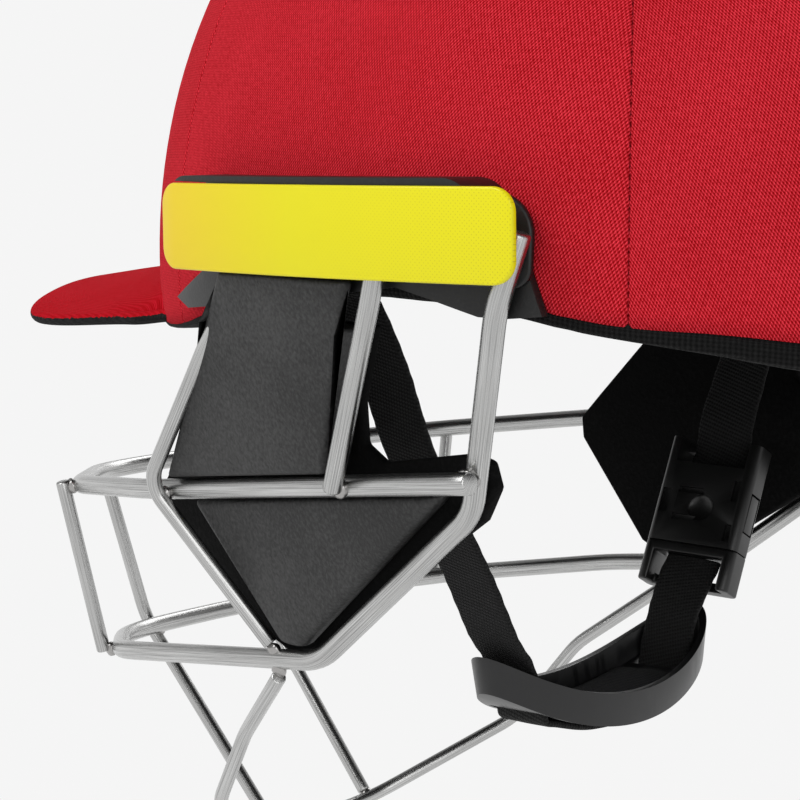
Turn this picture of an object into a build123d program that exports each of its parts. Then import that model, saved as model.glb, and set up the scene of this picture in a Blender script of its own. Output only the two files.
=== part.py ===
from build123d import *
import math
import os

# Cricket helmet with a wire face guard, cheek pads and a buckled chin strap.
# Millimetres. +Z is up, the wearer looks along -Y and +X is the wearer's left.
# The origin is the middle of the head opening: the centre plane, the line
# through the ears and the level of the rim beside them.

os.makedirs("parts", exist_ok=True)

# Shell and its layers, from the outside in
half_width = 101.0
half_length = 134.0
crown_rise = 136.0
widest_level = 6.5
shell_centre_y = -3.3
cover_thickness = 1.4
shell_wall = 3.0
liner_thickness = 14.0
layer_gap = 0.05
seam_turns = (0.0, 58.2, 120.1, 180.0, 239.9, 301.8, 360.0)
overrun = 40.0

# Rim line
rim_dip = 10.0
rim_y_shares = (-1.5, -1.0, -0.8, -0.6, -0.39, -0.25, -0.08, 0.16, 0.3, 0.378, 0.485, 0.6, 0.7, 1.0, 1.5)
rim_z_shares = (-0.4, -0.4, -0.8, -0.75, -0.14, 0.5, 0.85, 0.85, 0.5, 0.22, 0.03, -0.04, -0.19, -0.6, -1.0)
hem_shares = (0.5, 0.5, 0.4, 0.3, 0.4, 0.6, 0.7, 0.7, 0.5, 0.38, 0.43, 0.62, 0.78, 1.0, 1.0)
binding_height = 7.0
binding_reach = 2.2

# Comfort padding
comfort_thickness = 6.0
brow_pad_height = 30.0
rear_pad_height = 36.0
side_pad_height = 26.0
side_pad_length = 62.0
crown_pad_diameter = 90.0
ear_arch_radius = 44.0
ear_arch_centre_y = -6.0
ear_arch_centre_z = -8.0
brow_drop_share = 0.6
pad_end_share = 0.42

# Crown button
button_diameter = 22.0
button_height = 4.5
button_round_share = 0.36
button_shoulder_share = 0.5

# Peak
peak_half_width = 80.0
peak_length = 121.0
peak_root_y = -78.0
peak_x_shares = (1.0, 0.912, 0.785, 0.465, 0.0)
peak_y_shares = (0.0, 0.273, 0.706, 0.904, 1.0)
peak_board_thickness = 1.8
peak_cloth_thickness = 0.8
peak_arch = 19.0
peak_slope = 8.55
peak_root_level = 22.7

# Side plate and the moulding that it clips to
plate_length = 105.5
plate_height = 19.4
plate_thickness = 1.6
plate_corner = 5.0
plate_centre_y = -2.8
plate_centre_z = 17.7
plate_tilt = 1.0
plate_outer_x = 110.7
plate_bow_radius = 300.0
mount_wall = 2.0
mount_corner = 8.5
side_start_x = 50.0
mount_length = 96.8
mount_height = 22.4
mount_centre_y = -7.9
skirt_thickness = 2.0
skirt_y_shares = (-0.666, -0.597, -0.402, -0.187, 0.135, 0.218, 0.328, 0.386, 0.46, 0.414, 0.42,
                  0.395, 0.333, 0.28, -0.449, -0.516, -0.636)
skirt_z_shares = (-0.072, -0.175, -0.052, 0.077, 0.335, 0.232, 0.072, 0.067, 0.108, 0.8, 1.0,
                  1.253, 1.443, 1.24, 0.62, 0.294, 0.0)

# Fixings
screw_diameter = 5.0
screw_head_diameter = 9.0
screw_head_height = 2.2
fixing_z = 17.0
front_fixing_y = -20.0
rear_fixing_y = 30.0
barrel_diameter = 7.0
flange_diameter = 13.0
flange_thickness = 1.4
nut_room_diameter = 16.0
rear_nut_grip = 1.7
running_clearance = 0.05
tab_thickness = 1.0
tab_height = 11.0
tab_length = 93.4
tab_centre_y = -0.1
slot_clearance = 0.3
strap_grip = 4.4

# Face guard wires
loop_wire = 5.0
frame_wire = 4.9
post_wire = 4.4
thin_wire = 3.7
weld_gap = 0.1
guard_half_width = 95.2
guard_reach = 176.0
guard_depth = 160.5
upper_drop = 38.0
upper_slope = 0.14
lower_drop = 78.0
lower_slope = 0.185

# Routes of the wires: shares of the guard's half width, reach and depth
upper_loop_shares = ((1.0, 0.168), (0.935, -0.455), (0.751, -0.756), (0.357, -0.977), (0.0, -1.0))
upper_loop_radius_shares = (0.34, 0.17, 0.255, 0.68)
lower_loop_shares = ((0.819, -0.409), (0.714, -0.688), (0.399, -0.893), (0.0, -0.917))
rear_post_top_share = 0.264
rear_post_rim_share = 0.235
rear_post_shares = ((0.916, 0.13, -0.2635), (0.834, -0.182, -0.5327))
lower_loop_radius_shares = (0.12, 0.102, 0.125, 0.34, 0.17, 0.255, 0.68)
middle_post_top_share = 0.08
middle_post_rim_share = 0.061
middle_post_end_shares = (1.026, -0.052, -0.247)
front_wire_top_share = -0.193
front_wire_rim_share = -0.206
front_wire_shares = ((1.0, -0.426, -0.2885), (0.8435, -0.274, -0.523))
post_top_share = 1.12
post_rim_share = 0.2
post_radius_share = 0.11
front_wire_radius_share = 0.045
short_bar_shares = ((0.792, -0.768, -0.346), (0.685, -0.749, -0.642))
centre_bar_shares = ((0.3465, -0.966, -0.407), (0.231, -0.946, -0.667), (0.201, -0.661, -0.987))
centre_bar_radius_share = 0.08
chin_bar_shares = ((0.8325, -0.265, -0.5735), (0.693, -0.42, -0.713), (0.63, -0.52, -0.863),
                   (0.2, -0.66, -1.005))
chin_bar_radius_shares = (0.14, 0.1, 0.17)

# Cheek pads: shares of the guard's half width, reach and depth
sheet_thickness = 3.5
block_gap = 0.3
sheet_section_shares = ((0.9695, -0.0206), (0.8834, -0.2617), (0.7983, -0.5483))
sheet_side_shares = ((-0.3045, -0.0206), (-0.0057, -0.0206), (-0.0409, -0.1333), (-0.0477, -0.1931),
                     (-0.0176, -0.2156), (0.1227, -0.1838), (0.1523, -0.1913), (0.1574, -0.2274),
                     (0.1267, -0.2773), (-0.2045, -0.5234), (-0.2614, -0.5389), (-0.321, -0.5109),
                     (-0.4716, -0.3427), (-0.4801, -0.3053))
upper_block_section_shares = ((1.085, 0.0474), (1.122, 0.0474), (0.979, -0.2866), (0.892, -0.2866),
                              (0.9716, -0.0203), (1.085, -0.0203))
upper_block_side_shares = ((-0.176, 0.0474), (0.0244, 0.0474))
upper_block_foot_shares = (-0.0824, -0.3864)
lower_block_section_shares = ((0.9538, -0.2243), (0.857, -0.536), (0.8026, -0.536), (0.8845, -0.2617),
                              (0.8992, -0.2243))
lower_block_top_shares = (-0.388, 0.0966)
lower_block_side_shares = ((-0.2074, -0.5165), (-0.2472, -0.5165))

# Chin harness: webbing through shares of the anchor's X and of the drop to the cup
web_width = 16.0
web_thickness = 1.6
harness_tilt = 3.0
web_x_shares = (1.0, 1.0, 0.941, 0.876, 0.792, 0.751, 0.697, 0.571, 0.49, 0.414, 0.365, 0.343,
                0.325, 0.312, 0.3)
web_drop_shares = (-0.063, 0.055, 0.096, 0.137, 0.251, 0.329, 0.424, 0.581, 0.683, 0.792, 0.839, 0.874,
                   0.906, 0.944, 0.968)
web_under_turn = 19.0
web_under_steps = 3
web_rising_count = 5
buckle_side_web_shares = ((-0.751, 0.329), (-0.657, 0.451))
buckle_web_twist = -3.0
buckle_twist = -9.0

# Chin cup
cup_drop = 127.5
cup_half_length = 43.5
cup_half_width = 19.5
cup_foot_inset = 2.6
cup_depth = 8.5
cup_end_rise = 14.5
cup_wall = 2.0
cup_pad_thickness = 2.5
cup_pad_half_length = 24.0
slot_length = 17.4
slot_width = 4.8

# Side-release buckle
buckle_top_shares = (-0.626, 0.51)
buckle_foot_shares = (-0.43, 0.796)
buckle_width = 27.0
buckle_thickness = 9.0
buckle_corner = 2.2
buckle_rail = 3.2
buckle_wall = 2.2
socket_length = 29.4
web_bar = 2.6
web_bar_thickness = 3.0
web_window = 4.4
cavity_start = 9.0
window_start = 13.0
window_end = 24.0
prong_width = 2.8
prong_inner = 5.6
prong_play = 0.4
tongue_half_width = 3.3


def label_and_write(part, name):
    part.label = name
    export_step(part, f"parts/{name}.step")


def dome(inset):
    """Solid ellipsoid that lies this far inside the outer face of the cover."""
    with BuildPart() as body:
        Sphere(1)
        scale(by=(half_width - inset, half_length - inset, crown_rise - inset))
    return body.part.moved(Location((0, shell_centre_y, widest_level)))


def dome_x(y, z, inset=0.0):
    """Half width of that ellipsoid at a place along the helmet and a level."""
    y_share = (y - shell_centre_y) / (half_length - inset)
    z_share = (z - widest_level) / (crown_rise - inset)
    return (half_width - inset) * math.sqrt(1 - y_share**2 - z_share**2)


def rim_points(drop, hem):
    """Rim line in the side view, lowered by the drop and by a hem of this height."""
    tables = zip(rim_y_shares, rim_z_shares, hem_shares)
    return [(a * half_length, b * rim_dip - drop - hem * c) for a, b, c in tables]


def under_rim(drop, hem=0.0):
    """Everything below the rim line, lowered by the drop and the hem."""
    points = rim_points(drop, hem)
    floor = -crown_rise
    with BuildPart() as block:
        with BuildSketch(Plane.YZ):
            with BuildLine():
                Spline(*points)
                Polyline(points[-1], (points[-1][0], floor), (points[0][0], floor), points[0])
            make_face()
        extrude(amount=half_width + overrun, both=True)
    return block.part


def seam_angle(index):
    """Direction in plan of a cover seam, counted from the brow to the left."""
    turn = math.radians(seam_turns[index])
    return math.atan2(-half_length * math.cos(turn), half_width * math.sin(turn))


def wedge(index):
    """Upright wedge between two neighbouring seams."""
    reach = half_length + overrun
    first, second = seam_angle(index), seam_angle(index + 1)
    with BuildPart() as block:
        with BuildSketch(Plane.XY.offset(-crown_rise)):
            with BuildLine():
                a = (reach * 2 * math.cos(first), reach * 2 * math.sin(first))
                b = (reach * 2 * math.cos(second), reach * 2 * math.sin(second))
                Polyline((0, 0), a, b, (0, 0))
            make_face()
        extrude(amount=crown_rise * 3)
    return block.part


def x_rod(y, z, diameter, x_from, x_to):
    """Round bar along X."""
    with BuildPart() as rod:
        with BuildSketch(Plane.YZ.offset(x_from)):
            with Locations((y, z)):
                Circle(diameter / 2)
        extrude(amount=x_to - x_from)
    return rod.part


def z_rod(diameter, z_from, z_to):
    with BuildPart() as rod:
        with BuildSketch(Plane.XY.offset(z_from)):
            Circle(diameter / 2)
        extrude(amount=z_to - z_from)
    return rod.part


def side_prism(points, x_from, x_to):
    """Outline in the side view (Y, Z), as thick as the two X values say."""
    with BuildPart() as prism:
        with BuildSketch(Plane.YZ.offset(x_from)):
            with BuildLine():
                Polyline(*points, close=True)
            make_face()
        extrude(amount=x_to - x_from)
    return prism.part


def front_prism(points, y_from, y_to):
    """Outline in the front view (X, Z), from one Y to another."""
    with BuildPart() as prism:
        with BuildSketch(Plane.XZ.offset(-y_to)):
            with BuildLine():
                Polyline(*points, close=True)
            make_face()
        extrude(amount=y_to - y_from)
    return prism.part


def bow_block(x_face):
    """Everything inside of the bowed upright surface that the side plate lies on."""
    with BuildPart() as block:
        with BuildSketch(Plane.XY.offset(-crown_rise)):
            with Locations((x_face - plate_bow_radius, plate_centre_y)):
                Circle(plate_bow_radius)
        extrude(amount=crown_rise * 2)
    return block.part


def rounded_side(length, height, corner, centre_y, centre_z, x_from, x_to):
    """Round-cornered rectangle in the side view, tilted as the side plate is."""
    with BuildPart() as prism:
        with BuildSketch(Plane.YZ.offset(x_from)):
            with Locations(Location((centre_y, centre_z), plate_tilt)):
                RectangleRounded(length, height, corner)
        extrude(amount=x_to - x_from)
    return prism.part


def wire(points, radii, diameter):
    """Round wire along straight runs joined by arcs."""
    with BuildPart() as rod:
        with BuildLine() as route:
            if radii:
                FilletPolyline(*points, radius=radii)
            else:
                Line(*points)
        with BuildSketch(Plane(origin=route.line @ 0, z_dir=route.line % 0)):
            Circle(diameter / 2)
        sweep(path=route.line)
    return rod.part


def mirrored(points):
    return [(-x, y, z) for x, y, z in reversed(points)]


def other_side(part):
    return part.mirror(Plane.YZ)


def write_pair(part, name):
    label_and_write(part, f"{name}_left")
    label_and_write(other_side(part), f"{name}_right")


# Shell, liner and cloth cover
below = under_rim(0)
shell_inset = cover_thickness + layer_gap
liner_inset = shell_inset + shell_wall + layer_gap
comfort_inset = liner_inset + liner_thickness + layer_gap
cavity_inset = comfort_inset + comfort_thickness
cover_solid = dome(0) - dome(cover_thickness) - below
shell_solid = dome(shell_inset) - dome(shell_inset + shell_wall) - below
liner_solid = dome(liner_inset) - dome(liner_inset + liner_thickness) - below

fixing_ys = (front_fixing_y, rear_fixing_y)
side_reach = half_width + overrun
for fixing_y in fixing_ys:
    hole = x_rod(fixing_y, fixing_z, barrel_diameter + running_clearance * 2, -side_reach, side_reach)
    shell_solid = shell_solid - hole
    cover_solid = cover_solid - hole

ear_arch = x_rod(ear_arch_centre_y, ear_arch_centre_z, ear_arch_radius * 2, -side_reach, side_reach)
rear_nut_room = x_rod(rear_fixing_y, fixing_z, nut_room_diameter, -side_reach, side_reach)
liner_solid = liner_solid - ear_arch - rear_nut_room

panel_names = ("front_left", "left", "rear_left", "rear_right", "right", "front_right")
for index, panel_name in enumerate(panel_names):
    label_and_write(cover_solid & wedge(index), f"cover_panel_{panel_name}")
label_and_write(shell_solid, "outer_shell")
label_and_write(liner_solid, "impact_liner")

# Knitted binding round the rim
binding_solid = dome(layer_gap * 4) - dome(liner_inset + binding_reach)
binding_solid = (binding_solid & under_rim(layer_gap)) - under_rim(0, binding_height)
label_and_write(binding_solid, "rim_binding")

# Comfort pads inside the liner
comfort_layer = dome(comfort_inset) - dome(cavity_inset)
brow_bottom = -rim_dip * brow_drop_share
pad_end_y = half_length * pad_end_share
brow_block = side_prism(
    [(-half_length, brow_bottom), (-pad_end_y, brow_bottom),
     (-pad_end_y, brow_bottom + brow_pad_height), (-half_length, brow_bottom + brow_pad_height)],
    -half_width, half_width)
rear_block = side_prism(
    [(pad_end_y, 0), (half_length, 0), (half_length, rear_pad_height), (pad_end_y, rear_pad_height)],
    -half_width, half_width)
side_bottom = ear_arch_centre_z + ear_arch_radius
side_block = side_prism(
    [(ear_arch_centre_y - side_pad_length / 2, side_bottom),
     (ear_arch_centre_y + side_pad_length / 2, side_bottom),
     (ear_arch_centre_y + side_pad_length / 2, side_bottom + side_pad_height),
     (ear_arch_centre_y - side_pad_length / 2, side_bottom + side_pad_height)],
    0, half_width)
crown_block = z_rod(crown_pad_diameter, crown_rise / 2, crown_rise * 2)
label_and_write(comfort_layer & brow_block - under_rim(-layer_gap), "brow_pad")
label_and_write(comfort_layer & rear_block, "rear_pad")
label_and_write(comfort_layer & crown_block, "crown_pad")
write_pair(comfort_layer & side_block, "side_pad")

# Cloth button where the seams meet
crown_level = widest_level + crown_rise
with BuildPart() as crown_button:
    with BuildSketch(Plane.XZ):
        with BuildLine():
            Line((0, crown_level - button_height), (0, crown_level + button_height))
            ThreePointArc((0, crown_level + button_height),
                          (button_diameter * button_round_share,
                           crown_level + button_height * button_shoulder_share),
                          (button_diameter / 2, crown_level - button_height))
            Line((button_diameter / 2, crown_level - button_height), (0, crown_level - button_height))
        make_face()
    revolve(axis=Axis.Z)
label_and_write(crown_button.part - dome(-layer_gap), "crown_button")


# Peak: cloth, board and lining, one under the other
def peak_layer(depth, thickness):
    arch_radius = (peak_half_width**2 + peak_arch**2) / (2 * peak_arch)
    run = peak_length - peak_root_y + overrun
    drop = run * math.tan(math.radians(peak_slope))
    with BuildPart() as sheet:
        with BuildSketch(Plane.XZ):
            with Locations((0, peak_root_level - arch_radius)):
                Circle(arch_radius - depth)
                Circle(arch_radius - depth - thickness, mode=Mode.SUBTRACT)
                Rectangle(arch_radius * 3, arch_radius * 1.5, mode=Mode.SUBTRACT)
        extrude(amount=math.hypot(run, drop), dir=(0, -run, -drop))
    left = [(a * peak_half_width, peak_root_y - b * peak_length) for a, b in zip(peak_x_shares, peak_y_shares)]
    right = [(-x, y) for x, y in reversed(left[:-1])]
    with BuildPart() as outline:
        with BuildSketch(Plane.XY.offset(-crown_rise)):
            with BuildLine():
                Spline(*(left + right), tangents=((0, -1), (0, 1)))
                Line(right[-1], left[0])
            make_face()
        extrude(amount=crown_rise * 2)
    return (sheet.part & outline.part) - dome(-layer_gap)


label_and_write(peak_layer(0, peak_cloth_thickness), "peak_cover")
label_and_write(peak_layer(peak_cloth_thickness, peak_board_thickness), "peak_board")
lining_depth = peak_cloth_thickness + peak_board_thickness
label_and_write(peak_layer(lining_depth, peak_cloth_thickness), "peak_lining")

# Side plate, its moulding, and what fixes the guard to the shell
plate_inner_x = plate_outer_x - plate_thickness
plate_box = rounded_side(plate_length, plate_height, plate_corner, plate_centre_y, plate_centre_z,
                         side_start_x, half_width + overrun)
plate_solid = plate_box & (bow_block(plate_outer_x) - bow_block(plate_inner_x))
write_pair(plate_solid, "side_plate")

mount_y = mount_centre_y
mount_z = plate_centre_z
mount_box = rounded_side(mount_length, mount_height, mount_corner, mount_y, mount_z,
                         side_start_x, half_width + overrun)
mount_solid = (mount_box & bow_block(plate_inner_x - layer_gap)) - dome(-layer_gap)
pocket_y = [mount_y - mount_length / 2 + mount_wall, mount_y + mount_length / 2 - mount_wall]
pocket_top = mount_z + mount_height / 2 - mount_wall
pocket = side_prism([(pocket_y[0], -rim_dip), (pocket_y[1], -rim_dip),
                     (pocket_y[1], pocket_top), (pocket_y[0], pocket_top)],
                    side_start_x, half_width + overrun) - dome(-skirt_thickness)
skirt_points = [(a * plate_length, b * plate_height) for a, b in zip(skirt_y_shares, skirt_z_shares)]
skirt = side_prism(skirt_points, side_start_x, half_width + overrun)
skirt = skirt & (dome(-skirt_thickness) - dome(-layer_gap))
mount_solid = (mount_solid - pocket) + skirt
for fixing_y in fixing_ys:
    mount_solid = mount_solid - x_rod(fixing_y, fixing_z, barrel_diameter + running_clearance * 2,
                                      side_start_x, half_width + overrun)
tab_inset = -skirt_thickness - layer_gap * 2
tab_face_inset = tab_inset - tab_thickness


def tab_box(clearance):
    return rounded_side(tab_length + clearance * 2, tab_height + clearance * 2, tab_height / 2 - layer_gap,
                        tab_centre_y, fixing_z, side_start_x, half_width + overrun)


tab_solid = tab_box(0) & (dome(tab_face_inset) - dome(tab_inset))
for fixing_y in fixing_ys:
    tab_solid = tab_solid - x_rod(fixing_y, fixing_z, screw_diameter + running_clearance * 2,
                                  side_start_x, half_width + overrun)
write_pair(tab_solid, "guard_tab")
tab_slot = tab_box(slot_clearance) & (dome(tab_face_inset - slot_clearance) - dome(tab_inset + layer_gap))
write_pair(mount_solid - tab_slot, "mount_moulding")


def screw(fixing_y):
    """Round-headed screw from the tab inwards; its head bears on the high side."""
    lean = fixing_y - shell_centre_y
    high_y = fixing_y - math.copysign(screw_head_diameter / 2, lean)
    seat = dome_x(high_y, fixing_z, tab_face_inset) + layer_gap
    tip = dome_x(fixing_y, fixing_z, liner_inset) - flange_thickness
    shank = x_rod(fixing_y, fixing_z, screw_diameter, tip, seat)
    head = x_rod(fixing_y, fixing_z, screw_head_diameter, seat, seat + screw_head_height)
    return shank + head


def barrel_nut(fixing_y, grip):
    """Nut with a smooth barrel through the shell and a flange inside it."""
    outer = dome_x(fixing_y, fixing_z, 0)
    inner = dome_x(fixing_y, fixing_z, liner_inset) - grip
    barrel = x_rod(fixing_y, fixing_z, barrel_diameter, inner, outer)
    flange = x_rod(fixing_y, fixing_z, flange_diameter, inner - flange_thickness, inner)
    bore = x_rod(fixing_y, fixing_z, screw_diameter + running_clearance * 2, inner - overrun, side_reach)
    return barrel + flange - bore


with BuildPart() as guard_screws_left:
    add(screw(front_fixing_y))
    add(screw(rear_fixing_y))
write_pair(guard_screws_left.part, "guard_screws")
write_pair(barrel_nut(front_fixing_y, strap_grip), "strap_pivot_nut")
write_pair(barrel_nut(rear_fixing_y, rear_nut_grip), "rear_barrel_nut")


# Face guard
def upper_level(y):
    return upper_slope * y - upper_drop


def lower_level(y):
    return lower_slope * y - lower_drop


def place(shares):
    """Point of the guard from its shares of half width, reach and depth."""
    return (shares[0] * guard_half_width, shares[1] * guard_reach, shares[2] * guard_depth)


def on_level(shares, level):
    """Points of a loop in plan, put on its sloping level."""
    return [(x * guard_half_width, y * guard_reach, level(y * guard_reach)) for x, y in shares]


def reach_shares(shares):
    return [share * guard_reach for share in shares]


def there_and_back(values):
    return values + values[-2::-1]


def both_halves(points):
    """Left half of a route that ends on the centre plane, then its mirror image."""
    return points + mirrored(points[:-1])


def post_seat(top_share, rim_share, diameter):
    """Two points of an upright wire that lies against the tab, top first."""
    points = []
    for y_share, z_share in ((top_share, post_top_share), (rim_share, post_rim_share)):
        y = y_share * guard_reach
        x = dome_x(y, widest_level, tab_face_inset) + diameter / 2 + weld_gap
        points.append((x, y, fixing_z * z_share))
    return points


upper_path = both_halves(on_level(upper_loop_shares, upper_level))
upper_radii = there_and_back(reach_shares(upper_loop_radius_shares))
label_and_write(wire(upper_path, upper_radii, loop_wire), "upper_loop")

frame_half = post_seat(rear_post_top_share, rear_post_rim_share, frame_wire)
frame_half += [place(shares) for shares in rear_post_shares] + on_level(lower_loop_shares, lower_level)
frame_radii = there_and_back(reach_shares(lower_loop_radius_shares))
label_and_write(wire(both_halves(frame_half), frame_radii, frame_wire), "lower_loop_and_rear_posts")

middle_points = post_seat(middle_post_top_share, middle_post_rim_share, post_wire)
middle_points += [place(middle_post_end_shares)]
write_pair(wire(middle_points, [post_radius_share * guard_reach], post_wire), "middle_post")
front_points = post_seat(front_wire_top_share, front_wire_rim_share, thin_wire)
front_points += [place(shares) for shares in front_wire_shares]
front_radii = reach_shares((post_radius_share, front_wire_radius_share))
write_pair(wire(front_points, front_radii, thin_wire), "front_wire")
write_pair(wire([place(shares) for shares in short_bar_shares], [], thin_wire), "short_outer_bar")
centre_points = [place(shares) for shares in centre_bar_shares]
write_pair(wire(centre_points, reach_shares((centre_bar_radius_share,)), thin_wire), "centre_bar")
chin_half = [place(shares) for shares in chin_bar_shares]
chin_radii = reach_shares(chin_bar_radius_shares)
chin_radii = chin_radii + chin_radii[::-1]
label_and_write(wire(chin_half + mirrored(chin_half), chin_radii, thin_wire), "chin_bar")


# Cheek pads: an inner sheet, and two blocks that fill the gaps between the wires
def section_slab(shares):
    """Slab along the helmet with this section of X and Z."""
    points = [(x * guard_half_width, z * guard_depth) for x, z in shares]
    return front_prism(points, -guard_reach, guard_reach)


def side_slab(points):
    return side_prism(points, side_start_x, half_width + overrun)


sheet_outer = [(x * guard_half_width, z * guard_depth) for x, z in sheet_section_shares]
sheet_inner = [(x - sheet_thickness, z) for x, z in reversed(sheet_outer)]
sheet_side = [(y * guard_reach, z * guard_depth) for y, z in sheet_side_shares]
sheet_solid = side_slab(sheet_side) & front_prism(sheet_outer + sheet_inner, -guard_reach, guard_reach)
write_pair(sheet_solid & under_rim(block_gap, binding_height), "cheek_pad_sheet")

upper_side = [(y * guard_reach, z * guard_depth) for y, z in upper_block_side_shares]
for share in upper_block_foot_shares:
    foot_y = share * guard_reach
    upper_side.append((foot_y, upper_level(foot_y) + loop_wire / 2 + block_gap))
upper_block = side_slab(upper_side) & section_slab(upper_block_section_shares)
write_pair(upper_block, "cheek_pad_upper_block")

lower_side = []
for share in lower_block_top_shares:
    top_y = share * guard_reach
    lower_side.append((top_y, upper_level(top_y) - loop_wire / 2 - block_gap))
lower_side += [(y * guard_reach, z * guard_depth) for y, z in lower_block_side_shares]
lower_block = side_slab(lower_side) & section_slab(lower_block_section_shares)
write_pair(lower_block, "cheek_pad_lower_block")

# Chin harness, laid out in the plane that hangs from the line through both pivots
hang_angle = math.radians(harness_tilt)
down = Vector(0, math.sin(hang_angle), -math.cos(hang_angle))
across = Vector(0, math.cos(hang_angle), math.sin(hang_angle))
pivot = Vector(0, front_fixing_y, fixing_z)
anchor_x = dome_x(front_fixing_y, fixing_z, liner_inset) - strap_grip + layer_gap * 2 + web_thickness / 2


def hang(x, drop):
    """Point of the harness at this X and this far below the pivots."""
    return pivot + Vector(1, 0, 0) * x + down * drop


def turned_across(along, twist):
    return across.rotate(Axis((0, 0, 0), tuple(along)), twist)


def ribbon(stations):
    """Flat webbing through stations of X, drop and twist in degrees."""
    points = [hang(x, drop) for x, drop, twist in stations]
    with BuildPart() as web:
        for index, (x, drop, twist) in enumerate(stations):
            before = points[max(index - 1, 0)]
            after = points[min(index + 1, len(points) - 1)]
            along = (after - before).normalized()
            with BuildSketch(Plane(origin=points[index], x_dir=turned_across(along, twist), z_dir=along)):
                Rectangle(web_width, web_thickness)
        loft(ruled=True)
    return web.part


web_hole = x_rod(front_fixing_y, fixing_z, barrel_diameter + running_clearance * 2, -side_reach, side_reach)

# Chin cup: an oval tray whose floor lies on an arc, with a slot for the web at each end
floor_radius = (cup_half_length**2 + cup_end_rise**2) / (2 * cup_end_rise)
floor_centre = cup_drop - floor_radius


def floor_disc(radius, lift=0.0):
    """Cylinder across the cup about the centre of its floor's arc, or lifted from there."""
    with BuildPart() as disc:
        with BuildSketch(Plane(origin=hang(0, floor_centre - lift), x_dir=(1, 0, 0), z_dir=across)):
            Circle(radius)
        extrude(amount=cup_half_length, both=True)
    return disc.part


def oval(inset):
    """Oval column along the drop that narrows towards the foot of the cup."""
    top = cup_drop - cup_end_rise - cup_depth * 2
    foot = cup_drop + cup_depth
    with BuildPart() as column:
        for drop, foot_inset in ((top, 0), (foot, cup_foot_inset * 2)):
            with BuildSketch(Plane(origin=hang(0, drop), x_dir=(1, 0, 0), z_dir=down)):
                Ellipse(cup_half_length - inset - foot_inset, cup_half_width - inset - foot_inset)
        loft(ruled=True)
    return column.part


def web_slot(x):
    with BuildPart() as slot:
        with BuildSketch(Plane(origin=hang(x, cup_drop), x_dir=across, z_dir=down)):
            Rectangle(slot_length, slot_width)
        extrude(amount=cup_depth * 2, both=True)
    return slot.part


slot_x = web_x_shares[-2] * anchor_x
cup_solid = oval(0) & (floor_disc(floor_radius) - floor_disc(floor_radius, cup_depth))
cup_solid = cup_solid - (oval(cup_wall) & floor_disc(floor_radius - cup_wall))
cup_solid = cup_solid - web_slot(slot_x) - web_slot(-slot_x)
label_and_write(cup_solid, "chin_cup")
pad_radius = floor_radius - cup_wall - layer_gap
with BuildPart() as pad_limits:
    with BuildSketch(Plane(origin=hang(0, floor_centre), x_dir=(1, 0, 0), z_dir=down)):
        Rectangle(cup_pad_half_length * 2, cup_half_width * 2)
    extrude(amount=floor_radius)
pad_solid = (floor_disc(pad_radius) - floor_disc(pad_radius - cup_pad_thickness)) & pad_limits.part
pad_solid = pad_solid & oval(cup_wall + block_gap)
label_and_write(pad_solid, "chin_cup_pad")

# Buckle on the right-hand side, laid out along its own length from the top
buckle_top = (buckle_top_shares[0] * anchor_x, buckle_top_shares[1] * cup_drop)
buckle_foot = (buckle_foot_shares[0] * anchor_x, buckle_foot_shares[1] * cup_drop)
buckle_length = math.dist(buckle_top, buckle_foot)
buckle_along = (hang(*buckle_foot) - hang(*buckle_top)).normalized()
buckle_side = turned_across(buckle_along, buckle_twist)
buckle_plane = Plane(origin=hang(*buckle_top), x_dir=buckle_side, z_dir=buckle_along)


def buckle_block(sides, lengths, faces, corner=0.0):
    """Block of the buckle between two side places, two lengths and two face levels."""
    width, thickness = sides[1] - sides[0], faces[1] - faces[0]
    with BuildPart() as block:
        with BuildSketch(buckle_plane.offset(lengths[0])):
            with Locations(((sides[0] + sides[1]) / 2, (faces[0] + faces[1]) / 2)):
                if corner:
                    RectangleRounded(width, thickness, corner)
                else:
                    Rectangle(width, thickness)
        extrude(amount=lengths[1] - lengths[0])
    return block.part


half_buckle = buckle_width / 2
half_face = buckle_thickness / 2
web_half_room = half_buckle - buckle_rail
cavity_half = half_buckle - buckle_wall
cavity_face = half_face - buckle_wall + prong_play
bar_face = web_bar_thickness - half_face
window_foot = web_bar + web_window
socket = buckle_block((-half_buckle, half_buckle), (0, socket_length), (-half_face, half_face), buckle_corner)
web_room = (-web_half_room, web_half_room)
full_face = (-buckle_thickness, buckle_thickness)
cavity_faces = (-cavity_face, cavity_face)
socket = socket - buckle_block(web_room, (-web_bar, window_foot), (bar_face, buckle_thickness))
socket = socket - buckle_block(web_room, (web_bar, window_foot), full_face)
socket = socket - buckle_block((-cavity_half, cavity_half), (cavity_start, socket_length + web_bar), cavity_faces)
socket = socket - buckle_block((-buckle_width, buckle_width), (window_start, window_end), cavity_faces)
label_and_write(socket, "buckle_socket")

plug_start = socket_length + weld_gap
plug_window = plug_start + web_bar
tongue_face = cavity_face - prong_play
buckle_sides = (-half_buckle, half_buckle)
tongue_faces = (-tongue_face, tongue_face)
plug = buckle_block(buckle_sides, (plug_start, buckle_length), (-half_face, half_face), buckle_corner)
plug = plug - buckle_block(web_room, (plug_window, buckle_length - web_bar), full_face)
plug_bar_face = bar_face + web_thickness
plug = plug - buckle_block(web_room, (plug_window, buckle_length + web_bar), (plug_bar_face, buckle_thickness))
plug = plug + buckle_block((-tongue_half_width, tongue_half_width), (window_start, plug_start), tongue_faces)
label_and_write(plug, "buckle_plug")

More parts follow.
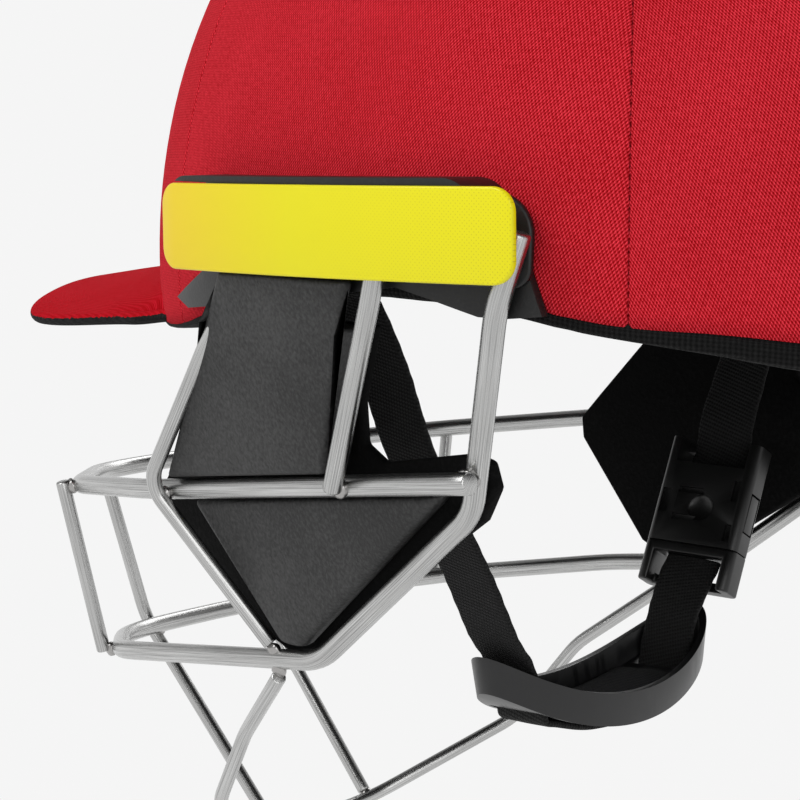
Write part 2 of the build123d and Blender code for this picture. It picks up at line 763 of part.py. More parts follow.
arm_outer = prong_inner + prong_width
for prong_name, side in (("rear", 1), ("front", -1)):
    arm = sorted((side * prong_inner, side * arm_outer))
    button = sorted((side * arm_outer, side * half_buckle))
    prong = buckle_block(arm, (window_start + prong_play, socket_length), tongue_faces)
    prong = prong + buckle_block(button, (window_start + prong_play, window_end - prong_play), tongue_faces)
    label_and_write(prong, f"buckle_prong_{prong_name}")


def in_buckle(length, face):
    """X and drop of a place this far along the buckle and this far towards its inner face."""
    x_rate = (buckle_foot[0] - buckle_top[0]) / buckle_length
    drop_rate = (buckle_foot[1] - buckle_top[1]) / buckle_length
    return (buckle_top[0] + x_rate * length + drop_rate * face,
            buckle_top[1] + drop_rate * length - x_rate * face)


# Webbing: a long piece from the left anchor round the cup, and a short one above the buckle
web_stations = [(a * anchor_x, b * cup_drop, 0) for a, b in zip(web_x_shares, web_drop_shares)]
under_radius = floor_radius + web_thickness / 2 + block_gap
under_stations = []
for step in range(web_under_steps * 2 + 1):
    angle = math.radians(web_under_turn * (1 - step / web_under_steps))
    under_stations.append((under_radius * math.sin(angle), floor_centre + under_radius * math.cos(angle), 0))
rising_stations = [(-x, drop, 0) for x, drop, twist in reversed(web_stations[-web_rising_count:])]
web_rest = bar_face + web_thickness * 1.5 + weld_gap
plug_stations = [(*in_buckle(buckle_length - web_bar, web_rest + block_gap), -buckle_twist),
                 (*in_buckle(plug_window + web_bar / 2, web_rest - web_thickness), -buckle_twist)]
chin_web = ribbon(web_stations + under_stations + rising_stations + plug_stations) - web_hole
label_and_write(chin_web, "chin_web")
upper_stations = [(-x, drop, 0) for x, drop, twist in web_stations[:web_rising_count]]
for (x_share, drop_share), twist in zip(buckle_side_web_shares, (buckle_web_twist, buckle_twist)):
    upper_stations.append((x_share * anchor_x, drop_share * cup_drop, twist))
upper_stations.append((*in_buckle(web_bar / 2, web_rest - web_thickness), buckle_twist))
upper_stations.append((*in_buckle(window_foot - weld_gap * 3, web_rest - web_thickness), buckle_twist))
label_and_write(ribbon(upper_stations) - web_hole, "buckle_web")
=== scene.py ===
import bpy
import bmesh
import math
from mathutils import Matrix, Vector, noise


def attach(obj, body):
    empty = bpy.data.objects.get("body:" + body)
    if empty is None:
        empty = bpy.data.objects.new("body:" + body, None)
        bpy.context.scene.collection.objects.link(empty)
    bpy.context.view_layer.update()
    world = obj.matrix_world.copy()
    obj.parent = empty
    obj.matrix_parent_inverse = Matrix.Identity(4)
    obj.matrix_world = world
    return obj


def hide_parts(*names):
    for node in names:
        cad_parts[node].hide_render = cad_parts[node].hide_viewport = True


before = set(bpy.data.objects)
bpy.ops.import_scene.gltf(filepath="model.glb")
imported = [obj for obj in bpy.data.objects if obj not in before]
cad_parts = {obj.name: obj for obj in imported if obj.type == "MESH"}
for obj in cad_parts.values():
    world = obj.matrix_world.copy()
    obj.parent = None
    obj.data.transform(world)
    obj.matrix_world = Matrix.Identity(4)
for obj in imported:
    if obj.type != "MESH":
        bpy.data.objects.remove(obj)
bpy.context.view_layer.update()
mm = 0.001


def add_object(name, data):
    made = bpy.data.objects.new(name, data)
    bpy.context.scene.collection.objects.link(made)
    return made


# Camera at the photograph's view
camera_data = bpy.data.cameras.new("camera")
camera_data.lens, camera_data.sensor_width = 99.1, 36.0
camera_data.clip_start = 0.01
camera = add_object("camera", camera_data)
camera.location = (0.4283, 0.332, 0.0444)
camera.rotation_euler = (math.radians(82.31), 0, math.radians(134.1))
bpy.context.scene.camera = camera

# Shell shape, as in the part's source
half_width = 101.0 * mm
half_length = 134.0 * mm
crown_rise = 136.0 * mm
widest_level = 6.5 * mm
shell_centre_y = -3.3 * mm
# Rim line and binding height: y as a share of the half length, then a share of the dip or the full height
rim_dip, binding_height = 10.0 * mm, 7.0 * mm
rim_table = [(-1.5, -0.4), (-1.0, -0.4), (-0.8, -0.95), (-0.6, -0.93), (-0.39, -0.28), (-0.25, 0.5), (-0.08, 0.85),
             (0.16, 0.85), (0.3, 0.5), (0.378, 0.22), (0.485, 0.03), (0.6, -0.04), (0.7, -0.19), (1.0, -0.6),
             (1.5, -1.0)]
hem_table = [(-1.5, 0.5), (-1.0, 0.5), (-0.8, 0.22), (-0.6, 0.14), (-0.39, 0.25), (-0.25, 0.6), (-0.08, 0.7),
             (0.16, 0.7), (0.3, 0.5), (0.378, 0.38), (0.485, 0.43), (0.6, 0.62), (0.7, 0.78), (1.0, 1.0), (1.5, 1.0)]
# Seams, in degrees from the brow to the left
seam_turns = (0.0, 58.2, 120.1, 180.0, 239.9, 301.8, 360.0)


def smooth_table(table, at):
    """Value of a table between its rows, on a smooth curve through them."""
    last = len(table) - 1
    at = min(max(at, table[0][0]), table[-1][0])
    index = max(i for i in range(last) if i == 0 or table[i][0] < at)
    (x0, y0), (x1, y1), (x2, y2), (x3, y3) = (table[min(max(index + i, 0), last)] for i in (-1, 0, 1, 2))
    span = x2 - x1
    share = (at - x1) / span
    rate1 = (y2 - y0) / (x2 - x0) * span
    rate2 = (y3 - y1) / (x3 - x1) * span
    a = 2 * y1 - 2 * y2 + rate1 + rate2
    b = -3 * y1 + 3 * y2 - 2 * rate1 - rate2
    return ((a * share + b) * share + rate1) * share + y1


def rim_level(y):
    return smooth_table(rim_table, y / half_length) * rim_dip


def hem_height(y):
    return smooth_table(hem_table, y / half_length) * binding_height


def shell_point(turn, level, inset=0.0):
    """Point of the shell at a turn in plan from the brow to the left, at a level, this far inside the cover."""
    rise = (level - widest_level) / (crown_rise - inset)
    share = math.sqrt(max(0.0, 1 - rise * rise))
    return Vector(((half_width - inset) * share * math.sin(turn),
                   shell_centre_y - (half_length - inset) * share * math.cos(turn), level))


def dome_point(turn, lift, inset=0.0):
    """Point of the shell at a turn in plan and a lift, an angle above the widest level."""
    return Vector(((half_width - inset) * math.cos(lift) * math.sin(turn),
                   shell_centre_y - (half_length - inset) * math.cos(lift) * math.cos(turn),
                   widest_level + (crown_rise - inset) * math.sin(lift)))


def dome_normal(point):
    return Vector((point.x / half_width**2, (point.y - shell_centre_y) / half_length**2,
                   (point.z - widest_level) / crown_rise**2)).normalized()


def rim_lift(turn):
    """Lift at which the shell meets its rim line."""
    lift = 0.0
    for _ in range(4):
        rise = (rim_level(dome_point(turn, lift).y) - widest_level) / crown_rise
        lift = math.asin(max(-0.9, min(0.9, rise)))
    return lift


def fade(distance, spread):
    """1 at a line, falling smoothly to 0 at about two spreads from it."""
    return math.exp(-(distance / spread)**2)


def curve_between(p, t):
    """Smooth curve through four points, a share t of the way from the second to the third."""
    return 0.5 * (2 * p[1] + (p[2] - p[0]) * t + (2 * p[0] - 5 * p[1] + 4 * p[2] - p[3]) * t * t
                  + (3 * p[1] - p[0] - 3 * p[2] + p[3]) * t**3)


# Meshes
def build(name, vertices, faces, material, body="helmet", stands_for=(), uvs=None):
    """New object that rides on a body and stands for its CAD nodes."""
    mesh = bpy.data.meshes.new(name)
    mesh.from_pydata([tuple(v) for v in vertices], [], faces)
    mesh.update()
    if uvs:
        layer = mesh.uv_layers.new(name="cloth")
        for loop in mesh.loops:
            layer.data[loop.index].uv = uvs[loop.vertex_index]
    mesh.shade_smooth()
    mesh.materials.append(material)
    piece = add_object(name, mesh)
    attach(piece, body)
    if stands_for:
        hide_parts(*stands_for)
    return piece


def grid_faces(rows, columns, closed=False, start=0, flip=False):
    """Quads of a grid of points stored row by row; a closed grid joins its last column to its first."""
    faces = []
    for row in range(rows - 1):
        for column in range(columns if closed else columns - 1):
            after = (column + 1) % columns
            a, b = start + row * columns + column, start + row * columns + after
            c, d = start + (row + 1) * columns + after, start + (row + 1) * columns + column
            faces.append((a, d, c, b) if flip else (a, b, c, d))
    return faces


def tube_faces(rings, sides):
    """Faces of a tube stored ring by ring, with flat ends."""
    faces = grid_faces(rings, sides, True)
    faces.append(tuple(reversed(range(sides))))
    faces.append(tuple(range((rings - 1) * sides, rings * sides)))
    return [tuple(reversed(face)) for face in faces]


def merge_points(mesh, distance, flat_angle=None):
    """Join points closer than a distance, and join faces that meet flatter than an angle."""
    work = bmesh.new()
    work.from_mesh(mesh)
    bmesh.ops.remove_doubles(work, verts=work.verts, dist=distance)
    if flat_angle:
        bmesh.ops.dissolve_limit(work, angle_limit=flat_angle, verts=work.verts, edges=work.edges)
    work.to_mesh(mesh)
    work.free()


def eased_copy(node, name, width, material, finish, segments=3, body="helmet", rule=None, cutter=None):
    """Copy of a CAD node with its edges rounded, after a rule has moved its points or a cutter has hollowed it."""
    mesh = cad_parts[node].data.copy()
    mesh.materials.clear()
    mesh.materials.append(material)
    merge_points(mesh, 0.002 * mm, math.radians(0.6))
    if rule:
        for vertex in mesh.vertices:
            vertex.co = rule(vertex.co)
    piece = add_object(name, mesh)
    if cutter:
        hollow = piece.modifiers.new("hollows", "BOOLEAN")
        hollow.operation = "DIFFERENCE"
        hollow.object = cutter
        hollow.use_self = True
    bevel = piece.modifiers.new("eased_edges", "BEVEL")
    bevel.width = width
    bevel.segments = segments
    bevel.limit_method = "ANGLE"
    bevel.angle_limit = math.radians(30)
    graph = bpy.context.evaluated_depsgraph_get()
    eased = bpy.data.meshes.new_from_object(piece.evaluated_get(graph))
    piece.modifiers.clear()
    piece.data = eased
    eased.shade_smooth()
    eased.set_sharp_from_angle(angle=math.radians(38))
    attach(piece, body)
    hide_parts(node)
    return piece


# Material parts
class Value:
    """Output of a node; + - * / and apply make further nodes in the same tree."""

    def __init__(self, tree, output):
        self.tree, self.output = tree, output

    def apply(self, operation, other=None):
        made = self.tree.nodes.new("ShaderNodeMath")
        made.operation = operation
        feed(self, made.inputs[0])
        if other is not None:
            feed(other, made.inputs[1])
        return Value(self.tree, made.outputs[0])

    def __add__(self, other):
        return self.apply("ADD", other)

    def __sub__(self, other):
        return self.apply("SUBTRACT", other)

    def __mul__(self, other):
        return self.apply("MULTIPLY", other)

    def __truediv__(self, other):
        return self.apply("DIVIDE", other)

    def clamped(self):
        """The same value, kept from 0 to 1 by its own node."""
        self.output.node.use_clamp = True
        return self


def feed(value, socket):
    """Give a socket a number, a colour or a node's output."""
    if isinstance(value, Value):
        value.tree.links.new(value.output, socket)
    elif isinstance(value, tuple):
        socket.default_value = (*value, 1)
    else:
        socket.default_value = value


def feed_all(node, values):
    for key, value in values.items():
        feed(value, node.inputs[key.replace("_", " ")])


def add_node(tree, kind, output=0, **values):
    """One output of a new node, whose properties or inputs are set by name."""
    made = tree.nodes.new(kind)
    settings = [key for key in values if hasattr(made, key)]
    for key in settings:
        setattr(made, key, values.pop(key))
    feed_all(made, values)
    return Value(tree, made.outputs[output])


def split(vector):
    """X, Y and Z of a vector."""
    made = vector.tree.nodes.new("ShaderNodeSeparateXYZ")
    feed(vector, made.inputs[0])
    return [Value(vector.tree, output) for output in made.outputs]


def wave(value, length=1.0, kind="SINE"):
    return (value * (math.tau / length)).apply(kind)


def ramp(value, stops):
    made = value.tree.nodes.new("ShaderNodeValToRGB")
    elements = made.color_ramp.elements
    while len(elements) < len(stops):
        elements.new(0.5)
    for element, (place, shade) in zip(elements, stops):
        element.position = place
        element.color = (*(shade if isinstance(shade, tuple) else grey(shade)), 1)
    feed(value, made.inputs[0])
    return Value(value.tree, made.outputs[0])


def blend_colours(mask, first, second):
    made = mask.tree.nodes.new("ShaderNodeMix")
    made.data_type = "RGBA"
    for place, value in ((0, mask), (6, first), (7, second)):
        feed(value, made.inputs[place])
    return Value(mask.tree, made.outputs[2])


def grey(level):
    return (level, level, level)


def scaled(colour, factor, extra=0.0):
    return tuple(min(1, factor * c + extra) for c in colour)


def new_group(name, inputs, outputs):
    """Node group; an input without a start value takes a place, the others take numbers."""
    group = bpy.data.node_groups.new(name, "ShaderNodeTree")
    for label, value in inputs.items():
        kind = "NodeSocketVector" if value is None else "NodeSocketFloat"
        made = group.interface.new_socket(name=label, in_out="INPUT", socket_type=kind)
        if value is not None:
            made.default_value = value
    for label in outputs:
        group.interface.new_socket(name=label, in_out="OUTPUT", socket_type="NodeSocketFloat")
    inside, outside = group.nodes.new("NodeGroupInput"), group.nodes.new("NodeGroupOutput")
    return group, {label: Value(group, inside.outputs[label]) for label in inputs}, outside


def use_group(tree, group, **values):
    """Outputs by name of a node group placed in a tree."""
    made = tree.nodes.new("ShaderNodeGroup")
    made.node_tree = group
    feed_all(made, values)
    return {output.name: Value(tree, output) for output in made.outputs}


def cloth_place(tree):
    return add_node(tree, "ShaderNodeUVMap", uv_map="cloth")


def object_place(tree):
    return add_node(tree, "ShaderNodeTexCoord", "Object")


def new_material(name):
    material = bpy.data.materials.new(name)
    material.use_nodes = True
    return material, material.node_tree, material.node_tree.nodes["Principled BSDF"]


def finish_surface(shader, height=None, depth=0.0, strength=1.0, **values):
    """Feed a shader's inputs by name; a height raises its surface by a depth."""
    feed_all(shader, values)
    if height:
        feed(add_node(height.tree, "ShaderNodeBump", Strength=strength, Distance=depth, Height=height),
             shader.inputs["Normal"])


# Diagonal weave: slanted ribs broken into short yarns; its shade is painted yarn highlight, lighter on raised yarns and
# at fine specks
twill_group, given, results = new_group(
    "twill_weave", {"Place": None, "Rib pitch": 0.001, "Rise": 0.6, "Yarn length": 0.001}, ("Height", "Shade"))
across, upwards, _ = split(given["Place"])
rib_turn = (upwards - across * given["Rise"]) / given["Rib pitch"]
row_shift = rib_turn.apply("FLOOR") * 0.37
rib, yarn = wave(rib_turn), wave(across / given["Yarn length"] + row_shift)
height = (rib * 0.27 + yarn * 0.2 + 0.5).clamped()
yarn_highlight_speck = add_node(twill_group, "ShaderNodeTexNoise", Scale=900.0, Detail=2.0, Vector=given["Place"])
feed_all(results, {"Height": height, "Shade": height * 0.7 + yarn_highlight_speck * 0.3})

# Fine grain: small bumps over larger ones
grain_group, given, results = new_group(
    "moulded_grain", {"Fineness": 900.0, "Patch size": 40.0}, ("Height", "Patches"))
at = object_place(grain_group)
fine = add_node(grain_group, "ShaderNodeTexNoise", Detail=3.0, Vector=at, Scale=given["Fineness"])
patches = add_node(grain_group, "ShaderNodeTexNoise", Detail=5.0, Roughness=0.62, Vector=at, Scale=given["Patch size"])
feed_all(results, {"Height": fine, "Patches": patches})

# Scratches: thin lines that run mostly one way
scratch_group, given, results = new_group(
    "long_scratches", {"Place": None, "Across": 2500.0, "Along": 60.0}, ("Lines",))
across, upwards, _ = split(given["Place"])
stretched = add_node(scratch_group, "ShaderNodeCombineXYZ", X=across * given["Across"], Y=upwards * given["Along"])
lines = add_node(scratch_group, "ShaderNodeTexNoise", Scale=1.0, Detail=4.0, Roughness=0.65, Vector=stretched)
feed_all(results, {"Lines": lines})


def twill_cloth(name, dark, light, seams=True):
    material, tree, shader = new_material(name)
    weave = use_group(tree, twill_group, Rib_pitch=0.0009, Rise=1.15, Yarn_length=0.00056, Place=cloth_place(tree))
    patches = use_group(tree, grain_group, Patch_size=28.0)["Patches"]
    # The lighter colour follows the weave's painted yarn highlights, mixed with patchy tone that is the cloth's own
    mask = ramp((weave["Shade"] + (patches - 0.5) * 0.2).clamped(), [(0.24, 0.0), (0.52, 0.32), (0.76, 1.0)])
    colour = blend_colours(mask, dark, light)
    # Painted groove shade: a dark line along each seam, broken into dashes by the stitches
    if seams:
        seam_groove_shade = add_node(tree, "ShaderNodeAttribute", "Fac", attribute_name="seam")
        stitch = wave(split(cloth_place(tree))[1], 0.0021) * 0.3 + 0.7
        colour = blend_colours((seam_groove_shade * stitch).clamped(), colour, scaled(dark, 0.12))
    finish_surface(shader, weave["Height"], 0.00022, 0.8, Base_Color=colour, Roughness=0.9, Specular_IOR_Level=0.03)
    return material


def black_foam(name, base, worn, roughness, grain, depth, wear=(0.5, 0.8), gloss=0.5):
    """Skinned foam or moulded plastic with patchy wear."""
    material, tree, shader = new_material(name)
    noises = use_group(tree, grain_group, Fineness=grain, Patch_size=26.0)
    speckle = (noises["Height"] - 0.5) * 0.9
    worn_mask = ramp((noises["Patches"] + speckle).clamped(), [(wear[0], 0.0), (wear[1], 1.0)])
    finish_surface(shader, noises["Height"], depth, 0.7, Base_Color=blend_colours(worn_mask, grey(base), grey(worn)),
                   Roughness=noises["Patches"] * 0.25 + (roughness - 0.12), Specular_IOR_Level=gloss)
    return material


def steel_wire(name, colour, roughness):
    material, tree, shader = new_material(name)
    lines = use_group(tree, scratch_group, Across=3600.0, Along=28.0, Place=cloth_place(tree))["Lines"]
    shades = ramp(lines, [(0.3, scaled(colour, 0.5)), (0.48, colour), (0.68, scaled(colour, 1.5))])
    finish_surface(shader, lines, 0.00006, 0.6, Base_Color=shades, Metallic=1.0,
                   Roughness=lines * 0.3 + (roughness - 0.15))
    return material


def knit_cloth(name, base, light, pitch=0.0011):
    """Ribbed knit; its ribs run up and down the band."""
    material, tree, shader = new_material(name)
    across, upwards, _ = split(cloth_place(tree))
    height = wave(across, pitch) * 0.3 + wave(upwards, pitch * 0.8) * 0.2 + 0.5
    fuzz = use_group(tree, grain_group, Fineness=1600.0, Patch_size=300.0)["Height"]
    mask = (height * fuzz).clamped()
    finish_surface(shader, mask, 0.0005, 0.9, Base_Color=blend_colours(mask, base, light), Roughness=0.92,
                   Specular_IOR_Level=0.12, Sheen_Weight=0.03)
    return material


def webbing_cloth(name, base, light):
    """Flat woven webbing: rows of slanted picks between firm edges."""
    material, tree, shader = new_material(name)
    weave = use_group(tree, twill_group, Rib_pitch=0.00105, Rise=0.3, Yarn_length=0.0008, Place=cloth_place(tree))
    # Lighter picks follow the weave's painted yarn highlights
    finish_surface(shader, weave["Height"], 0.0003, 0.9, Base_Color=blend_colours(weave["Shade"], base, light),
                   Roughness=0.85, Specular_IOR_Level=0.2, Sheen_Weight=0.03)
    return material


def gloss_moulding(name, base, roughness):
    material, tree, shader = new_material(name)
    noises = use_group(tree, grain_group, Fineness=260.0, Patch_size=70.0)
    colour = blend_colours(noises["Patches"], base, scaled(base, 1.9, 0.004))
    finish_surface(shader, noises["Height"], 0.00003, 0.5, Base_Color=colour,
                   Roughness=noises["Patches"] * 0.22 + (roughness - 0.1))
    return material


def plate_finish(name):
    """Yellow plate: warmer towards the front, with rows of tiny dots on its rear half."""
    material, tree, shader = new_material(name)
    _, along, upwards = split(object_place(tree))
    share = (along * 9.5 + 0.53).clamped()
    colour = ramp(share, [(0.0, (0.77, 0.55, 0.002)), (0.45, (0.73, 0.665, 0.0005)), (1.0, (0.76, 0.695, 0.0006))])
    dot_pitch = 0.0011
    dot = wave(along, dot_pitch, "COSINE") * wave(upwards, dot_pitch, "COSINE")
    rear = ((share - 0.45) * 1.9).clamped()
    mask = dot.apply("GREATER_THAN", 0.72) * (rear * 0.75)
    patches = use_group(tree, grain_group, Fineness=120.0, Patch_size=30.0)["Patches"]
    finish_surface(shader, Base_Color=blend_colours(mask, colour, (0.55, 0.47, 0.01)), Roughness=patches * 0.2 + 0.22,
                   Specular_IOR_Level=0.3, Coat_Weight=0.12, Coat_Roughness=0.15)
    return material


def turned_metal(name, colour, roughness=0.15):
    material, tree, shader = new_material(name)
    patches = use_group(tree, grain_group, Fineness=700.0, Patch_size=60.0)["Patches"]
    finish_surface(shader, Base_Color=blend_colours(patches, scaled(colour, 0.6), colour), Metallic=1.0,
                   Roughness=patches * 0.3 + roughness)
    return material


# The light reds of the twills are painted yarn highlight colours
red_twill = twill_cloth("red_twill", (0.26, 0.0002, 0.0008), (0.84, 0.045, 0.07))
red_peak_cloth = twill_cloth("red_peak_cloth", (0.32, 0.001, 0.003), (0.56, 0.012, 0.026), seams=False)
black_rib_knit = knit_cloth("black_rib_knit", grey(0.001), grey(0.02))
black_lining = knit_cloth("black_lining", grey(0.002), grey(0.02), 0.0008)
pad_cloth = knit_cloth("pad_cloth", (0.01, 0.01, 0.011), (0.05, 0.05, 0.052), 0.0009)
cheek_skin = black_foam("cheek_skin", 0.008, 0.046, 0.52, 1100.0, 0.0003, (0.36, 0.86), 0.42)
cheek_sheet_skin = black_foam("cheek_sheet_skin", 0.0012, 0.005, 0.85, 900.0, 0.0003, gloss=0.12)
moulding_plastic = black_foam("moulding_plastic", 0.006, 0.018, 0.42, 1500.0, 0.00005, gloss=0.4)
bead_foam = black_foam("bead_foam", 0.02, 0.04, 0.75, 330.0, 0.0004)
shell_plastic = black_foam("shell_plastic", 0.015, 0.03, 0.4, 1200.0, 0.00005)
cup_gloss = gloss_moulding("cup_gloss", (0.003, 0.003, 0.0034), 0.32)
buckle_gloss = gloss_moulding("buckle_gloss", grey(0.0025), 0.36)
black_webbing = webbing_cloth("black_webbing", grey(0.0015), grey(0.02))
guard_steel = steel_wire("guard_steel", (0.46, 0.46, 0.455), 0.27)
weld_steel = turned_metal("weld_steel", (0.5, 0.49, 0.48))
fixing_steel = turned_metal("fixing_steel", grey(0.6))
nut_metal = turned_metal("nut_metal", grey(0.7))
yellow_plate = plate_finish("yellow_plate")

# Cloth cover, panel by panel
panel_names = ("front_left", "left", "rear_left", "rear_right", "right", "front_right")
border_steps = (0.0, 0.14, 0.32, 0.6, 1.1, 2.2, 4.0, 6.5)
panel_columns, panel_rows = 14, 46
top_lift = math.radians(89.6)
# The last spread is the width of the painted shade along the seams
seam_depth, seam_spread, seam_shade_spread = 0.4 * mm, 0.5 * mm, 0.19 * mm
pucker_depth, pucker_run, pucker_spread = 0.09 * mm, 1.5 * mm, 3 * mm
wave_depth, wave_size = 0.25 * mm, 38 * mm
hem_tuck, hem_roll, hem_spread = 1.3 * mm, 0.35 * mm, 0.8 * mm


def cover_panel(index):
    """Panel between two seams, sunk at both and tucked in at the rim; its points know how near the seam is, for the
    painted shade along it.
    """
    start, end = (math.radians(a) for a in seam_turns[index:index + 2])
    middle = (start + end) / 2
    plan_radius = math.hypot(half_width * math.cos(middle), half_length * math.sin(middle))
    edge = [s * mm / plan_radius for s in border_steps]
    inner = [edge[-1] + (end - start - 2 * edge[-1]) * i / panel_columns for i in range(1, panel_columns)]
    turns = [start + e for e in edge + inner] + [end - e for e in reversed(edge)]
    lifts = [rim_lift(turn) for turn in turns]
    rib_side = 1 if index % 2 else -1
    vertices, uvs, seam_shade_values = [], [], []
    for row in range(-1, panel_rows + 1):
        share = max(0, row) / panel_rows
        share = share + 0.16 * math.sin(math.pi * share) * (share - 0.5)
        for turn, low in zip(turns, lifts):
            lift = low + (top_lift - low) * share
            point = dome_point(turn, lift)
            radius = math.hypot(half_width * math.cos(turn), half_length * math.sin(turn)) * math.cos(lift)
            to_seam = min(turn - start, end - turn) * radius
            sunk = seam_depth * fade(to_seam, seam_spread)
            sunk += pucker_depth * math.sin(point.z * 1.12 / pucker_run) * fade(to_seam, pucker_spread)
            sunk += hem_tuck if row < 0 else hem_roll * fade((lift - low) * crown_rise, hem_spread)
            sunk -= wave_depth * noise.noise(point / wave_size)
            vertices.append(point - dome_normal(point) * sunk)
            uvs.append((rib_side * (turn - middle) * radius, lift * crown_rise))
            seam_shade_values.append(fade(to_seam, seam_shade_spread))
    name = panel_names[index]
    piece = build(f"cover_{name}", vertices, grid_faces(panel_rows + 2, len(turns)), red_twill, "helmet",
                  [f"cover_panel_{name}"], uvs)
    piece.data.attributes.new("seam", "FLOAT", "POINT").data.foreach_set("value", seam_shade_values)


for panel_index in range(len(panel_names)):
    cover_panel(panel_index)

# Button over the meeting of the seams: radius and height in mm
button_profile = [(0.0, 4.5), (3.0, 4.4), (6.0, 3.9), (8.4, 2.9), (10.2, 1.5), (10.9, 0.0), (10.6, -1.6), (9.6, -2.4)]
button_sides, button_gathers = 48, 12
button_vertices, button_uvs = [], []
for radius, height in button_profile:
    for step in range(button_sides):
        turn = math.tau * step / button_sides
        gather = 1 + 0.012 * math.sin(turn * button_gathers) * radius / 11
        point = Vector((math.sin(turn) * radius * gather, -math.cos(turn) * radius * gather, 0)) * mm
        button_vertices.append(point + Vector((0, 0, widest_level + crown_rise + height * mm)))
        button_uvs.append((point.x, point.y))
button_faces = grid_faces(len(button_profile), button_sides, True, flip=True)
build("crown_button_cloth", button_vertices, button_faces, red_peak_cloth, "helmet", ["crown_button"],
      button_uvs)

# Knitted binding round the rim: depth inside the cover in mm, and drop as a share of the binding's height
binding_profile = [(1.5, -1.2), (0.7, -0.3), (0.35, 0.25), (0.3, 0.55), (0.55, 0.82), (1.4, 0.98), (2.9, 1.04),
                   (4.6, 1.0), (5.9, 0.8), (6.5, 0.45), (6.6, 0.0)]
binding_columns = 280
small_lump, small_lump_size, large_lump, large_lump_size = 0.18 * mm, 4 * mm, 0.2 * mm, 15 * mm
binding_vertices, binding_uvs = [], []
for inset, drop in binding_profile:
    along, before = 0.0, None
    for step in range(binding_columns):
        turn = math.tau * step / binding_columns
        edge = dome_point(turn, rim_lift(turn))
        along += (edge - before).length if before else 0.0
        before = edge
        height = hem_height(edge.y)
        lumps = small_lump * noise.noise(edge / small_lump_size) + large_lump * noise.noise(edge / large_lump_size)
        level = edge.z - (drop * height if drop > 0 else drop * mm) + lumps
        binding_vertices.append(shell_point(turn, level, inset * mm - lumps))
        binding_uvs.append((along, drop * height))
binding_faces = grid_faces(len(binding_profile), binding_columns, True, flip=True)
build("rim_binding_knit", binding_vertices, binding_faces, black_rib_knit, "helmet", ["rim_binding"],
      binding_uvs)

# Peak; its outline in shares of its half width and length
peak_half_width, peak_length, peak_thickness = 80.0 * mm, 121.0 * mm, 3.4 * mm
peak_root_y, peak_root_level = -78.0 * mm, 22.7 * mm
peak_arch = 19.0 * mm
peak_slope = math.tan(math.radians(8.55))
peak_root_turn = math.radians(54.5)
peak_half_outline = [(0.0, 1.0), (0.465, 0.904), (0.785, 0.706), (0.912, 0.273), (1.0, 0.0), (1.6, -0.45)]
peak_outline = [(-x, y) for x, y in reversed(peak_half_outline[1:])] + peak_half_outline
peak_columns, peak_rings = 90, 22
edge_round = peak_thickness / 2
root_lift, root_spread = 5.2 * mm, 3.4 * mm
band_lift, band_reach, band_step = 0.8 * mm, 15 * mm, 0.35 * mm
cloth_end = math.radians(76)


def peak_level(x, y):
    radius = (peak_half_width**2 + peak_arch**2) / (2 * peak_arch)
    return peak_root_level - radius + math.sqrt(radius**2 - x * x) + y * peak_slope


def outline_point(share):
    """Point of the peak's edge in plan, from its right root at 0 to its left root at 1."""
    runs = len(peak_outline) - 3
    place = 1 + share * runs
    index = min(int(place), runs)
    near = [Vector((a * peak_half_width, peak_root_y - b * peak_length)) for a, b in peak_outline[index - 1:index + 3]]
    return curve_between(near, place - index)


def edge_place(column):
    """Outline point of a column, its way outwards and its place on the shell."""
    share = column / peak_columns
    outer = outline_point(share)
    step = outline_point(min(1, share + 0.004)) - outline_point(max(0, share - 0.004))
    out = Vector((step.y, -step.x)).normalized()
    if out.dot(outer - Vector((0, peak_root_y))) < 0:
        out = -out
    turn = -peak_root_turn + 2 * peak_root_turn * share
    level = 8 * mm
    for _ in range(5):
        inner = shell_point(turn, level, 1.2 * mm)
        level = peak_level(inner.x, inner.y)
    return outer, out, Vector((inner.x, inner.y))


def kept_inside(point):
    """A point within the shell stays above its rim."""
    share = (point.x / half_width)**2 + ((point.y - shell_centre_y) / half_length)**2
    if share < 0.98:
        point.z = max(point.z, rim_level(point.y) + 1.2 * mm)
    return point


def peak_rows(drop, margin, lifted=False):
    """Rows of points from the shell out towards the peak's edge, this far below its top."""
    rows = []
    for ring in range(peak_rings + 1):
        row = []
        for column in range(peak_columns + 1):
            outer, out, inner = edge_place(column)
            plan = inner.lerp(outer - out * margin, (ring / peak_rings)**0.9)
            z = peak_level(plan.x, plan.y) - drop
            if lifted:
                away = (plan - inner).length
                lift = root_lift * math.exp(-away / root_spread)
                lift += 0.3 * mm * noise.noise(Vector((plan.x, plan.y, 0)) / (30 * mm))
                lift += band_lift / (1 + math.exp((away - band_reach) / band_step))
                z += lift * (1 - (ring / peak_rings)**6)
            row.append(kept_inside(Vector((plan.x, plan.y, z))))
        rows.append(row)
    return rows


def peak_edge(turns):
    """Rows of points round the peak's rolled edge; the cloth's own end is ragged."""
    rows = []
    for turn in turns:
        row = []
        for column in range(peak_columns * 6 + 1):
            outer, out, inner = edge_place(column / 6)
            centre = outer - out * edge_round
            ragged = 0.0
            if turn == cloth_end:
                ragged = 0.28 * noise.noise(Vector((centre.x, centre.y, 0)) / (0.9 * mm))
            plan = centre + out * edge_round * math.sin(turn + ragged)
            z = peak_level(centre.x, centre.y) - edge_round + edge_round * math.cos(turn + ragged)
            row.append(kept_inside(Vector((plan.x, plan.y, z))))
        rows.append(row)
    return rows


def peak_piece(name, parts, material, node):
    """One piece from several grids of rows."""
    vertices, faces = [], []
    for rows in parts:
        faces += grid_faces(len(rows), len(rows[0]), start=len(vertices))
        vertices += [point for row in rows for point in row]
    build(name, vertices, faces, material, "helmet", [node], [(-abs(point.x), point.y) for point in vertices])


